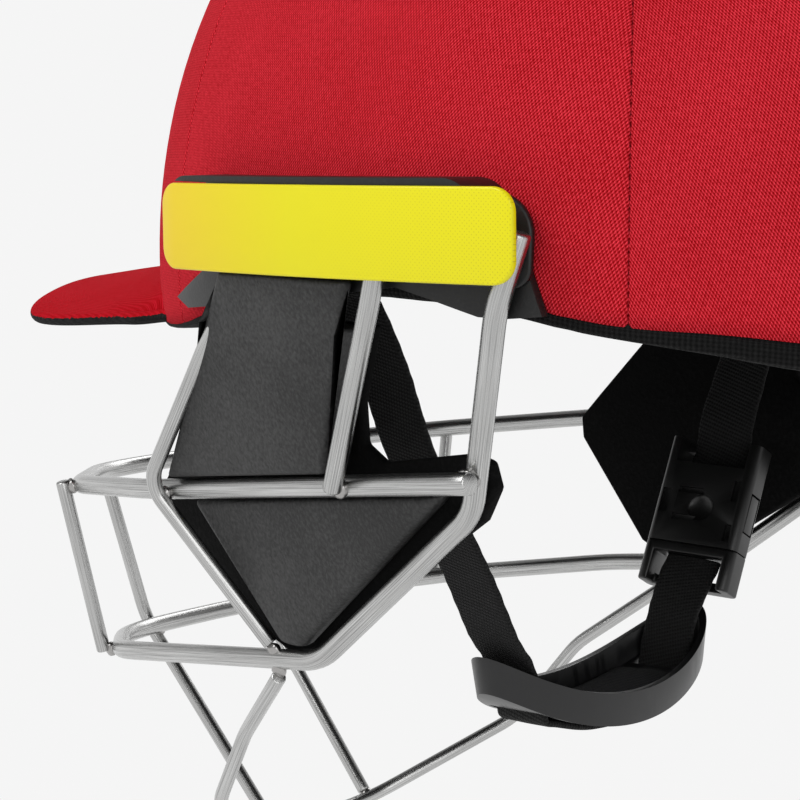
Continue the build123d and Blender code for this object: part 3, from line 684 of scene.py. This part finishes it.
upper_turns = [math.radians(a) for a in (0, 18, 36, 54, 66)] + [cloth_end]
lower_turns = [cloth_end] + [math.radians(a) for a in (90, 105, 120, 140, 160, 180)]
top_rows = peak_rows(0.0, edge_round, True)
under_rows = peak_rows(peak_thickness, edge_round)[::-1]
board_rows = peak_rows(1.0 * mm, 2.2 * mm) + peak_rows(2.6 * mm, 2.2 * mm)[::-1]
peak_piece("peak_cloth", [top_rows, peak_edge(upper_turns)], red_peak_cloth, "peak_cover")
peak_piece("peak_underside", [peak_edge(lower_turns), under_rows], black_lining, "peak_lining")
peak_piece("peak_board_sheet", [board_rows], shell_plastic, "peak_board")

# Chin harness lines, shared by its straps, cup and buckle
fixing_level = 17.0 * mm
hang_angle = math.radians(3.0)
down = Vector((0, math.sin(hang_angle), -math.cos(hang_angle)))
across_web = Vector((0, math.cos(hang_angle), math.sin(hang_angle)))
pivot = Vector((0, -20 * mm, fixing_level))
cup_drop = 127.5 * mm
web_width, web_thickness = 16.0 * mm, 1.6 * mm


def dome_half_width(y, z, inset):
    y_share = (y - shell_centre_y) / (half_length - inset)
    z_share = (z - widest_level) / (crown_rise - inset)
    return (half_width - inset) * math.sqrt(1 - y_share**2 - z_share**2)


liner_inset = 4.5 * mm
nut_reach, nut_gap = 4.4 * mm, 0.1 * mm
anchor_x = dome_half_width(pivot.y, fixing_level, liner_inset) - nut_reach + nut_gap + web_thickness / 2
web_x_shares = (1.0, 1.0, 0.941, 0.876, 0.792, 0.751, 0.697, 0.571, 0.49, 0.414, 0.365, 0.343, 0.325, 0.312, 0.3)
web_drop_shares = (-0.063, 0.055, 0.096, 0.137, 0.251, 0.329, 0.424, 0.581, 0.683, 0.792, 0.839, 0.874, 0.906, 0.944,
                   0.968)
floor_radius = 72.5 * mm
floor_centre = cup_drop - floor_radius
under_radius = floor_radius + web_thickness / 2 + 0.3 * mm


def hang(x, drop):
    return pivot + Vector((x, 0, 0)) + down * drop


buckle_top = (-0.626 * anchor_x, 0.51 * cup_drop)
buckle_foot = (-0.43 * anchor_x, 0.796 * cup_drop)
buckle_length = math.dist(buckle_top, buckle_foot)
buckle_twist = -9.0


def in_buckle(length, face):
    """Place in the buckle's plane as x and drop, from a length along it and a height over its face."""
    x_rate = (buckle_foot[0] - buckle_top[0]) / buckle_length
    drop_rate = (buckle_foot[1] - buckle_top[1]) / buckle_length
    return (buckle_top[0] + x_rate * length + drop_rate * face, buckle_top[1] + drop_rate * length - x_rate * face)


buckle_along = Vector((0.44288, 0.04692, -0.89535))
buckle_side = Vector((-0.140256, 0.989961, -0.017495))
buckle_face = buckle_along.cross(buckle_side)
buckle_plate_start, buckle_plate_length = 7.6 * mm, 21.6 * mm
# Hollows of the buckle's plate: share of its length, then distance to the side, length, width and depth in mm
buckle_slots = ((0.33, -3.4, 1.7, 7.6, 2.4), (0.49, -10.6, 6.6, 2.6, 2.4), (0.69, -4.2, 1.8, 6.6, 2.4),
                (0.27, 9.6, 6.0, 1.9, 2.4), (0.81, 9.9, 4.6, 1.9, 2.4))
buckle_dimple = (0.54, 0.4, 3.7, 3.7, 1.5)


def buckle_cutter():
    """Round dimple and moulded slots of the buckle's plate, as one solid to cut with."""
    origin = hang(*in_buckle(0, 0))
    face_level = max((v.co - origin).dot(buckle_face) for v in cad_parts["buckle_socket"].data.vertices)
    basis = Matrix((buckle_along, buckle_side, buckle_face)).transposed()
    work = bmesh.new()
    for hollow in (*buckle_slots, buckle_dimple):
        share, sideways, length, width, depth = hollow
        if hollow is buckle_dimple:
            made = bmesh.ops.create_icosphere(work, subdivisions=4, radius=1.0)["verts"]
        else:
            made = bmesh.ops.create_cube(work, size=1.0)["verts"]
        centre = origin + buckle_side * sideways * mm
        centre += buckle_along * (buckle_plate_start + share * buckle_plate_length)
        for vertex in made:
            x, y, z = vertex.co
            vertex.co = centre + basis @ Vector((x * length * mm, y * width * mm, face_level + z * depth * mm))
    mesh = bpy.data.meshes.new("buckle_hollows")
    work.to_mesh(mesh)
    work.free()
    return add_object("buckle_hollows", mesh)


# Plates, mouldings, cheek pads, cup and buckle: the CAD shapes with eased edges
pad_top, pad_height = 7.6 * mm, 53.6 * mm
pad_rear_y, pad_rear_slant, pad_front_y, pad_front_slant = 4.3 * mm, 18.8 * mm, -31 * mm, 37 * mm
sheet_foot, rear_edge_foot, rear_edge_y, front_edge_y = -49 * mm, -36 * mm, -12 * mm, -40 * mm


def over_wire(point):
    """The upper pad swells forwards over the front wire."""
    drop = (pad_top - point.z) / pad_height
    rear = pad_rear_y - pad_rear_slant * drop
    front = pad_front_y - pad_front_slant * drop
    share = (rear - point.y) / (rear - front)
    return Vector((point.x, point.y - share * (5.5 - 2.5 * drop) * mm, point.z))


def trimmed_sheet(point):
    """The sheet's upright edges lie nearer to its blocks than its plain outline."""
    if point.z > rear_edge_foot and rear_edge_y < point.y < 0:
        share = min(1.0, max(0.3, (-point.z - 2 * mm) / (14 * mm)))
        return Vector((point.x, point.y - 2.7 * mm * share, point.z))
    if point.z > sheet_foot and point.y < front_edge_y:
        share = min(1.0, max(0.0, (point.z - sheet_foot) / (46 * mm)))
        return Vector((point.x, point.y + 6.5 * mm * share, point.z))
    return point


sides = ("left", "right")
for side in sides:
    eased_copy(f"side_plate_{side}", f"side_plate_{side}_eased", 0.5 * mm, yellow_plate, "yellow_plate")
    eased_copy(f"mount_moulding_{side}", f"mount_moulding_{side}_eased", 0.5 * mm, moulding_plastic, "black_moulding")
    for part, width, skin, segments, rule in (("upper_block", 2.2 * mm, cheek_skin, 5, over_wire),
                                              ("lower_block", 2.2 * mm, cheek_skin, 5, None),
                                              ("sheet", 1.1 * mm, cheek_sheet_skin, 3, trimmed_sheet)):
        node_name = f"cheek_pad_{part}_{side}"
        pad = eased_copy(node_name, f"{node_name}_skin", width, skin, "cheek_foam", segments, rule=rule)

# Wall that closes the moulding's rear end: its outline, and its rings as shares of it with their depth in mm
wall_front, wall_rear, wall_bottom, wall_top = 18 * mm, 46.9 * mm, 7.6 * mm, 26.9 * mm
wall_rings = ((0.86, -0.2), (0.99, -2.1), (1.0, -3.1), (0.988, -3.35), (0.96, -3.4), (0.75, -3.4), (0.5, -3.4),
              (0.25, -3.4), (0.03, -3.4))


def side_point(side, y, level, inset):
    """Point of the shell's left or right side at a given y and level."""
    rise = (level - widest_level) / (crown_rise - inset)
    turn = math.acos((shell_centre_y - y) / ((half_length - inset) * math.sqrt(1 - rise * rise)))
    return shell_point(turn if side == "left" else -turn, level, inset)


def moulding_end(side):
    """Black wall behind the plate with two rounded corners."""
    outline = [(wall_front, wall_bottom), (wall_front, wall_top)]
    for centre_z, radius, first in ((wall_top - 9 * mm, 9 * mm, 90), (wall_bottom + 4 * mm, 4 * mm, 0)):
        for step in range(9):
            angle = math.radians(first - 90 * step / 8)
            outline.append((wall_rear - radius + radius * math.cos(angle), centre_z + radius * math.sin(angle)))
    around = []
    for (y0, z0), (y1, z1) in zip(outline, outline[1:] + outline[:1]):
        pieces = max(1, round(math.hypot(y1 - y0, z1 - z0) / (2 * mm)))
        around += [(y0 + (y1 - y0) * i / pieces, z0 + (z1 - z0) * i / pieces) for i in range(pieces)]
    middle_y, middle_z = (wall_front + wall_rear) / 2, (wall_bottom + wall_top) / 2
    vertices = [side_point(side, middle_y + (y - middle_y) * share, middle_z + (z - middle_z) * share, depth * mm)
                for share, depth in wall_rings for y, z in around]
    faces = grid_faces(len(wall_rings), len(around), True, flip=side == "left")
    build(f"moulding_end_{side}", vertices, faces, moulding_plastic)


for side in sides:
    moulding_end(side)
hollows = buckle_cutter()
for node_name, width, skin, finish, body, cutter in (
        ("chin_cup", 0.5 * mm, cup_gloss, "cup_plastic", "chin_harness", None),
        ("buckle_socket", 0.4 * mm, buckle_gloss, "buckle_plastic", "chin_harness", hollows),
        ("buckle_plug", 0.5 * mm, buckle_gloss, "buckle_plastic", "chin_harness", None),
        ("buckle_prong_rear", 0.3 * mm, buckle_gloss, "buckle_plastic", "prong_rear", None),
        ("buckle_prong_front", 0.3 * mm, buckle_gloss, "buckle_plastic", "prong_front", None)):
    eased_copy(node_name, f"{node_name}_eased", width, skin, finish, body=body, cutter=cutter)
bpy.data.objects.remove(hollows)

# Steel, nuts, shell and liner keep their CAD shapes
kept_finishes = {"outer_shell": shell_plastic, "impact_liner": bead_foam}
for side in sides:
    kept_finishes |= {f"guard_tab_{side}": fixing_steel, f"guard_screws_{side}": fixing_steel,
                      f"strap_pivot_nut_{side}": nut_metal, f"rear_barrel_nut_{side}": nut_metal}
for node_name, material in kept_finishes.items():
    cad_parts[node_name].data.materials.clear()
    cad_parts[node_name].data.materials.append(material)

# Guard wires; their corners are shares of the guard's half width, reach and depth
guard_half_width, guard_reach, guard_depth = 95.2 * mm, 176.0 * mm, 160.5 * mm
loop_wire, frame_wire, post_wire, thin_wire = 5.0 * mm, 4.9 * mm, 4.4 * mm, 3.7 * mm
tab_face, weld_gap = -3.1 * mm, 0.1 * mm
bend_step, run_step, least_step = math.radians(5), 5 * mm, 0.05 * mm
wire_sides, cut_rounding = 24, 0.12


def placed(*shares):
    return Vector((shares[0] * guard_half_width, shares[1] * guard_reach, shares[2] * guard_depth))


def on_level(shares, slope, drop):
    """Corners on a level that falls away from the face."""
    return [Vector((x * guard_half_width, y * guard_reach, slope * y * guard_reach - drop)) for x, y in shares]


def post_seat(top_share, rim_share, diameter):
    """Upper run of a post, along the face of its tab."""
    points = []
    for y_share, z_share in ((top_share, 1.12), (rim_share, 0.2)):
        y = y_share * guard_reach
        outward = (half_width - tab_face) * math.sqrt(1 - ((y - shell_centre_y) / (half_length - tab_face))**2)
        points.append(Vector((outward + diameter / 2 + weld_gap, y, fixing_level * z_share)))
    return points


def mirror_point(point):
    return Vector((-point.x, point.y, point.z))


def both_halves(points):
    """The left half's corners, then the right half's from the middle outwards."""
    return points + [mirror_point(p) for p in reversed(points) if p.x]


def rounded_route(points, radii):
    """Points along straight runs joined by arcs, as the wire is bent."""
    arcs = []
    for before, corner, after, radius in zip(points, points[1:], points[2:], radii):
        into, away = (corner - before).normalized(), (after - corner).normalized()
        turn = into.angle(away)
        start = corner - into * (radius * math.tan(turn / 2))
        inwards = (away - into * into.dot(away)).normalized()
        centre = start + inwards * radius
        steps = max(2, int(turn / bend_step))
        arcs.append([centre - inwards * radius * math.cos(turn * i / steps) + into * radius * math.sin(turn * i / steps)
                     for i in range(steps + 1)])
    route = [points[0]]
    for arc in arcs + [[points[-1]]]:
        last = route[-1]
        run = arc[0] - last
        count = max(1, int(run.length / run_step))
        for point in [last + run * i / count for i in range(1, count)] + arc:
            if (point - route[-1]).length > least_step:
                route.append(point)
    return route


def wire_piece(name, route, diameter, node):
    """Round drawn wire along a route, its cut ends a little rounded."""
    radius, rounding = diameter / 2, cut_rounding * diameter
    up = (route[1] - route[0]).normalized().orthogonal().normalized()
    rings, along = [], 0.0
    for index, point in enumerate(route):
        before, after = route[max(index - 1, 0)], route[min(index + 1, len(route) - 1)]
        heading = (after - before).normalized()
        up = (up - heading * up.dot(heading)).normalized()
        along += (point - before).length
        rings.append((point, heading, up, radius, along))
    cut = ((0.02 * mm, radius - rounding), (rounding * 0.3, radius - rounding * 0.3), (rounding, radius))
    (first, ahead, first_up), (last, behind, last_up) = rings[0][:3], rings[-1][:3]
    head = [(first + ahead * away, ahead, first_up, size, 0.0) for away, size in cut]
    tail = [(last - behind * away, behind, last_up, size, along) for away, size in reversed(cut)]
    rings = head + rings[1:-1] + tail
    vertices, uvs = [], []
    for point, heading, up, size, distance in rings:
        across = heading.cross(up)
        for side in range(wire_sides):
            turn = math.tau * side / wire_sides
            wander = 1 + 0.006 * noise.noise(Vector((distance / (9 * mm), side, 0)))
            vertices.append(point + (up * math.cos(turn) + across * math.sin(turn)) * size * wander)
            uvs.append((abs(turn - math.pi) * radius, distance))
    faces = tube_faces(len(rings), wire_sides)
    piece = build(name, vertices, faces, guard_steel, "helmet", [node], uvs)
    piece.data.set_sharp_from_angle(angle=math.radians(50))


routes = {}


def add_wire(name, points, radius_shares, diameter, ends=("",)):
    """Wire bent at its corners; with two ends of names it is made twice, left and then mirrored."""
    for end in ends:
        bent = [mirror_point(p) for p in points] if end == "_right" else points
        route = rounded_route(bent, [share * guard_reach for share in radius_shares])
        routes[name + end] = (route, diameter)
        wire_piece(f"{name}{end}_wire", route, diameter, name + end)


pair = ("_left", "_right")
upper_half = on_level([(1.0, 0.168), (0.935, -0.455), (0.751, -0.756), (0.357, -0.977), (0.0, -1.0)], 0.14, 38 * mm)
add_wire("upper_loop", both_halves(upper_half), (0.34, 0.17, 0.255, 0.68, 0.255, 0.17, 0.34), loop_wire)
frame_half = post_seat(0.264, 0.235, frame_wire) + [placed(0.916, 0.13, -0.2635), placed(0.834, -0.182, -0.5327)]
frame_half += on_level([(0.819, -0.409), (0.714, -0.688), (0.399, -0.893), (0.0, -0.917)], 0.185, 78 * mm)
frame_radii = (0.12, 0.102, 0.125, 0.34, 0.17, 0.255, 0.68)
add_wire("lower_loop_and_rear_posts", both_halves(frame_half), frame_radii + frame_radii[-2::-1], frame_wire)
add_wire("middle_post", post_seat(0.08, 0.061, post_wire) + [placed(1.026, -0.052, -0.247)], (0.11,), post_wire, pair)
front_points = post_seat(-0.193, -0.206, thin_wire) + [placed(1.0, -0.426, -0.2885), placed(0.8435, -0.274, -0.523)]
add_wire("front_wire", front_points, (0.11, 0.045), thin_wire, pair)
add_wire("short_outer_bar", [placed(0.792, -0.768, -0.346), placed(0.685, -0.749, -0.642)], (), thin_wire, pair)
centre_points = [placed(0.3465, -0.966, -0.407), placed(0.231, -0.946, -0.667), placed(0.201, -0.661, -0.987)]
add_wire("centre_bar", centre_points, (0.08,), thin_wire, pair)
chin_half = [placed(0.8325, -0.265, -0.5735), placed(0.693, -0.42, -0.713), placed(0.63, -0.52, -0.863),
             placed(0.2, -0.66, -1.005)]
add_wire("chin_bar", both_halves(chin_half), (0.14, 0.1, 0.17, 0.17, 0.1, 0.14), thin_wire)


def weld_bead(name, centre, axis, other, size):
    """Small melted bead that bridges two wires."""
    work = bmesh.new()
    bmesh.ops.create_icosphere(work, subdivisions=3, radius=1.0)
    third = axis.cross(other)
    if third.length < 1e-6:
        third = axis.orthogonal()
    third.normalize()
    basis = Matrix((axis.normalized(), third.cross(axis).normalized(), third)).transposed()
    for vertex in work.verts:
        x, y, z = vertex.co
        bump = 1 + 0.16 * noise.noise(vertex.co * 1.7 + centre * 900)
        vertex.co = centre + basis @ (Vector((x * size * 1.15, y * size * 1.15, z * size * 0.8)) * bump)
    mesh = bpy.data.meshes.new(name)
    work.to_mesh(mesh)
    work.free()
    mesh.shade_smooth()
    mesh.materials.append(weld_steel)
    piece = add_object(name, mesh)
    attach(piece, "helmet")


def fine_route(route, step, half):
    """Route in short steps; half picks its left or right part."""
    points = [route[0]]
    for point in route[1:]:
        last = points[-1]
        run = point - last
        count = max(1, int(run.length / step))
        points += [last + run * i / count for i in range(1, count + 1)]
    return [p for p in points if not half or p.x * half > 0]


def heading_at(route, index):
    return (route[min(index + 1, len(route) - 1)] - route[max(index - 1, 0)]).normalized()


weld_names = (f"weld_{number:02d}" for number in range(1, 100))


def add_weld(first, second, half=0):
    """Bead where two wires come nearest, if they meet."""
    (route_a, size_a), (route_b, size_b) = routes[first], routes[second]
    route_a, route_b = fine_route(route_a, 0.5 * mm, half), fine_route(route_b, 1.5 * mm, half)
    gap, i, j = min(((a - b).length, i * 3, j) for i, a in enumerate(route_a[::3]) for j, b in enumerate(route_b))
    if gap > (size_a + size_b) * 0.75:
        return
    centre = route_a[i].lerp(route_b[j], size_a / (size_a + size_b))
    weld_bead(next(weld_names), centre, heading_at(route_a, i), heading_at(route_b, j), min(size_a, size_b) * 0.48)


for side in sides:
    for thin in ("middle_post", "front_wire", "short_outer_bar", "centre_bar"):
        add_weld("upper_loop", f"{thin}_{side}")
    for thin in ("front_wire", "short_outer_bar", "centre_bar"):
        add_weld("lower_loop_and_rear_posts", f"{thin}_{side}")
    add_weld("chin_bar", f"centre_bar_{side}")
for half in (1, -1):
    add_weld("upper_loop", "lower_loop_and_rear_posts", half)
    add_weld("lower_loop_and_rear_posts", "chin_bar", half)

# Woven straps
web_steps, web_border, web_corner = 6, 0.9 * mm, 0.25 * mm
ripple_depth, ripple_run = 0.12 * mm, 0.8 * mm


def web_section():
    """Points round the webbing: flat faces between rounded edges."""
    half, thick = web_width / 2, web_thickness / 2
    lower = [(-half, 0), (-half + web_corner, -0.75 * thick), (-half + web_border, -thick)]
    lower += [(-half + web_border + (web_width - 2 * web_border) * i / 10, -thick) for i in range(1, 10)]
    lower += [(half - web_border, -thick), (half - web_corner, -0.75 * thick), (half, 0)]
    return lower + [(x, -y) for x, y in reversed(lower[1:-1])]


def ribbon(name, stations, node):
    """Webbing through stations of x, drop and twist in degrees."""
    line, last = [], len(stations) - 1
    for index in range(last):
        near = [stations[min(max(index + i, 0), last)] for i in (-1, 0, 1, 2)]
        for step in range(web_steps + (index == last - 1)):
            line.append([curve_between(p, step / web_steps) for p in zip(*near)])
    points = [hang(x, drop) for x, drop, twist in line]
    section = web_section()
    vertices, uvs, along = [], [], 0.0
    for index, point in enumerate(points):
        before, after = points[max(index - 1, 0)], points[min(index + 1, len(points) - 1)]
        heading = (after - before).normalized()
        along += (point - before).length
        sideways = Matrix.Rotation(math.radians(line[index][2]), 3, heading) @ across_web
        face = heading.cross(sideways).normalized()
        for x, y in section:
            ripple = ripple_depth * math.sin(along / ripple_run) if abs(x) > web_width / 2 - 0.5 * mm else 0.0
            wander = 0.15 * mm * noise.noise(Vector((along, x, 0)) / (9 * mm))
            vertices.append(point + sideways * (x + ripple) + face * (y + wander))
            uvs.append((x, along))
    faces = tube_faces(len(points), len(section))
    build(name, vertices, faces, black_webbing, "chin_harness", [node], uvs)


def other_side(stations):
    return [(-x, drop, 0.0) for x, drop, twist in stations]


def plug_station(length, face, twist):
    return (*in_buckle(length, face), twist)


web_stations = [(a * anchor_x, b * cup_drop, 0.0) for a, b in zip(web_x_shares, web_drop_shares)]
cup_turns = [math.radians(19.0 * (1 - step / 3)) for step in range(7)]
under_stations = [(under_radius * math.sin(a), floor_centre + under_radius * math.cos(a), 0.0) for a in cup_turns]
plug_stations = [plug_station(buckle_length - 2.6 * mm, 1.3 * mm, -buckle_twist),
                 plug_station(32.2 * mm, -0.6 * mm, -buckle_twist)]
ribbon("chin_web_woven", web_stations + under_stations + other_side(web_stations[:-6:-1]) + plug_stations, "chin_web")
upper_stations = other_side(web_stations[:5])
upper_stations += [(-0.751 * anchor_x, 0.329 * cup_drop, -3.0), (-0.657 * anchor_x, 0.451 * cup_drop, buckle_twist)]
upper_stations += [plug_station(length * mm, -0.6 * mm, buckle_twist) for length in (1.3, 6.7)]
ribbon("buckle_web_woven", upper_stations, "buckle_web")


# Comfort pads: firm foam under stitched cloth, in two layers of points
def layered_pad(name, rule, rows, columns, node, body="helmet", closed=False, lower_flip=False, merge=0.0):
    """Pad whose rule gives each point of its layer (0 underneath, 1 crowned), row and column, with its cloth place."""
    width = columns if closed else columns + 1
    made = [rule(layer, row, column) for layer in (0, 1) for row in range(rows + 1) for column in range(width)]
    faces = grid_faces(rows + 1, width, closed, flip=lower_flip)
    faces += grid_faces(rows + 1, width, closed, (rows + 1) * width, not lower_flip)
    pad = build(name, [p for p, uv in made], faces, pad_cloth, body, [node], [uv for p, uv in made])
    if merge:
        merge_points(pad.data, merge)


def crown_of(u, v, u_power, v_power=4):
    """Height of a crowned face, 1 over most of it and 0 at its edges, where u and v are 1 or -1."""
    return (1 - abs(u)**u_power)**0.5 * (1 - abs(v)**v_power)**0.5


pad_gap = 0.3 * mm
pad_outer = 18.6 * mm + pad_gap


def dome_pad(node, turns, levels, columns, rows, channels):
    """Crowned pad that lies on the liner, drawn in at its edges and along its sewn channels."""
    first, last = (math.radians(a) for a in turns)

    def rule(layer, row, column):
        u, v = column / columns, row / rows
        pinch = 1.0 - sum(0.55 * fade((u - channel) * 30, 1) for channel in channels)
        crown = crown_of(2 * u - 1, 2 * v - 1, 8) * pinch
        level = (levels[0] + (levels[1] - levels[0]) * v) * mm
        point = shell_point(first + (last - first) * u, level, pad_outer + (5.5 * mm * crown if layer else 0))
        return point, (u * (last - first) * half_length, level)

    layered_pad(f"{node}_cloth", rule, rows, columns, node, lower_flip=True, merge=0.02 * mm)


dome_pad("brow_pad", (-60, 60), (-4.5, 23.5), 90, 16, (0.2, 0.4, 0.6, 0.8))
dome_pad("rear_pad", (123, 237), (1, 35.5), 90, 18, (0.25, 0.5, 0.75))
dome_pad("side_pad_left", (72, 105), (37, 61.5), 36, 16, (0.5,))
dome_pad("side_pad_right", (-105, -72), (37, 61.5), 36, 16, (0.5,))
crown_rings, crown_spokes, crown_radius = 16, 60, 44.5 * mm


def crown_rule(layer, row, column):
    share = row / crown_rings
    turn = math.tau * column / crown_spokes
    x, y = crown_radius * share * math.sin(turn), -crown_radius * share * math.cos(turn)
    pinch = 1 - 0.5 * fade((share - 0.45) * 16, 1)
    inset = pad_outer + (5.5 * mm * (1 - share**6)**0.5 * pinch if layer else 0)
    height = 1 - (x / (half_width - inset))**2 - ((y - shell_centre_y) / (half_length - inset))**2
    return Vector((x, y, widest_level + (crown_rise - inset) * math.sqrt(height))), (x, y)


layered_pad("crown_pad_cloth", crown_rule, crown_rings, crown_spokes, "crown_pad", closed=True)
strip_columns, strip_rows = 28, 14


def strip_rule(layer, row, column):
    """Soft strip in the cup."""
    u, v = 2 * column / strip_columns - 1, 2 * row / strip_rows - 1
    x = u * 23.6 * mm
    width = 13.6 * mm * math.sqrt(1 - (x / (41 * mm))**2)
    radius = floor_radius - 2.15 * mm - (2.3 * mm * crown_of(u, v, 6) if layer else 0)
    drop = floor_centre + math.sqrt(radius**2 - x * x)
    return hang(x, drop) + across_web * v * width, (x, v * width)


layered_pad("chin_cup_pad_cloth", strip_rule, strip_rows, strip_columns, "chin_cup_pad", "chin_harness")

# Floor, backdrop colour and light
def seen_directly(tree):
    """1 for rays from the camera, a mirror or glass, 0 for light that falls on a surface."""
    rays = tree.nodes.new("ShaderNodeLightPath").outputs
    seen = [Value(tree, rays[f"Is {kind} Ray"]) for kind in ("Camera", "Glossy", "Transmission")]
    return seen[0].apply("MAXIMUM", seen[1]).apply("MAXIMUM", seen[2])


def mix_shaders(factor, first, second):
    made = factor.tree.nodes.new("ShaderNodeMixShader")
    for place, value in enumerate((factor, first, second)):
        feed(value, made.inputs[place])
    return Value(factor.tree, made.outputs[0])


background = grey(0.914)
floor_reach, floor_level = 4, -0.32
floor_mesh = bpy.data.meshes.new("floor")
corners = [(x * floor_reach, y * floor_reach, floor_level) for x, y in ((-1, -1), (1, -1), (1, 1), (-1, 1))]
floor_mesh.from_pydata(corners, [], [(0, 1, 2, 3)])
add_object("floor", floor_mesh)
floor_material, floor_tree, floor_shader = new_material("pale_floor")
floor_mesh.materials.append(floor_material)
finish_surface(floor_shader, Base_Color=grey(0.86), Roughness=0.9)
pale = add_node(floor_tree, "ShaderNodeEmission", Color=background, Strength=1.0)
middle_gap = add_node(floor_tree, "ShaderNodeVectorMath", "Value", operation="LENGTH", Vector=object_place(floor_tree))
outwards = ((middle_gap - 0.34) * 1.4 + 0.5).clamped()
shaded = Value(floor_tree, floor_shader.outputs[0])
from_above = mix_shaders(seen_directly(floor_tree) * outwards, shaded, pale)
clear = add_node(floor_tree, "ShaderNodeBsdfTransparent")
underneath = add_node(floor_tree, "ShaderNodeNewGeometry", "Backfacing")
feed(mix_shaders(underneath, from_above, clear), floor_tree.nodes["Material Output"].inputs[0])

world = bpy.data.worlds.new("studio")
bpy.context.scene.world = world
world.use_nodes = True
sky_tree = world.node_tree
sky_tree.nodes.clear()
sky_out = sky_tree.nodes.new("ShaderNodeOutputWorld")
skywards = split(add_node(sky_tree, "ShaderNodeTexCoord", "Generated"))[2] * 0.5 + 0.5
studio = ramp(skywards, [(0.0, background), (0.56, background), (0.68, 0.5), (0.8, 0.24), (1.0, 0.18)])
mirrored = add_node(sky_tree, "ShaderNodeLightPath", "Is Glossy Ray")
seen_sky = add_node(sky_tree, "ShaderNodeBackground", Color=blend_colours(mirrored, background, studio), Strength=1.0)
lit_sky = add_node(sky_tree, "ShaderNodeBackground", Color=grey(1), Strength=0.6)
feed(mix_shaders(seen_directly(sky_tree), lit_sky, seen_sky), sky_out.inputs[0])


def soft_lamp(name, location, size, power):
    data = bpy.data.lights.new(name, "AREA")
    data.shape = "SQUARE"
    data.size = size
    data.energy = power
    lamp = add_object(name, data)
    lamp.location = location
    lamp.rotation_euler = (-Vector(location)).to_track_quat("-Z", "Y").to_euler()


soft_lamp("key_lamp", (1.1, -0.5, 1.1), 0.9, 12)
soft_lamp("fill_lamp", (0.9, 1.2, 0.6), 1.0, 5.5)
soft_lamp("back_lamp", (-1.2, -0.6, 0.9), 0.9, 8)

bpy.context.scene.view_settings.view_transform = "Standard"
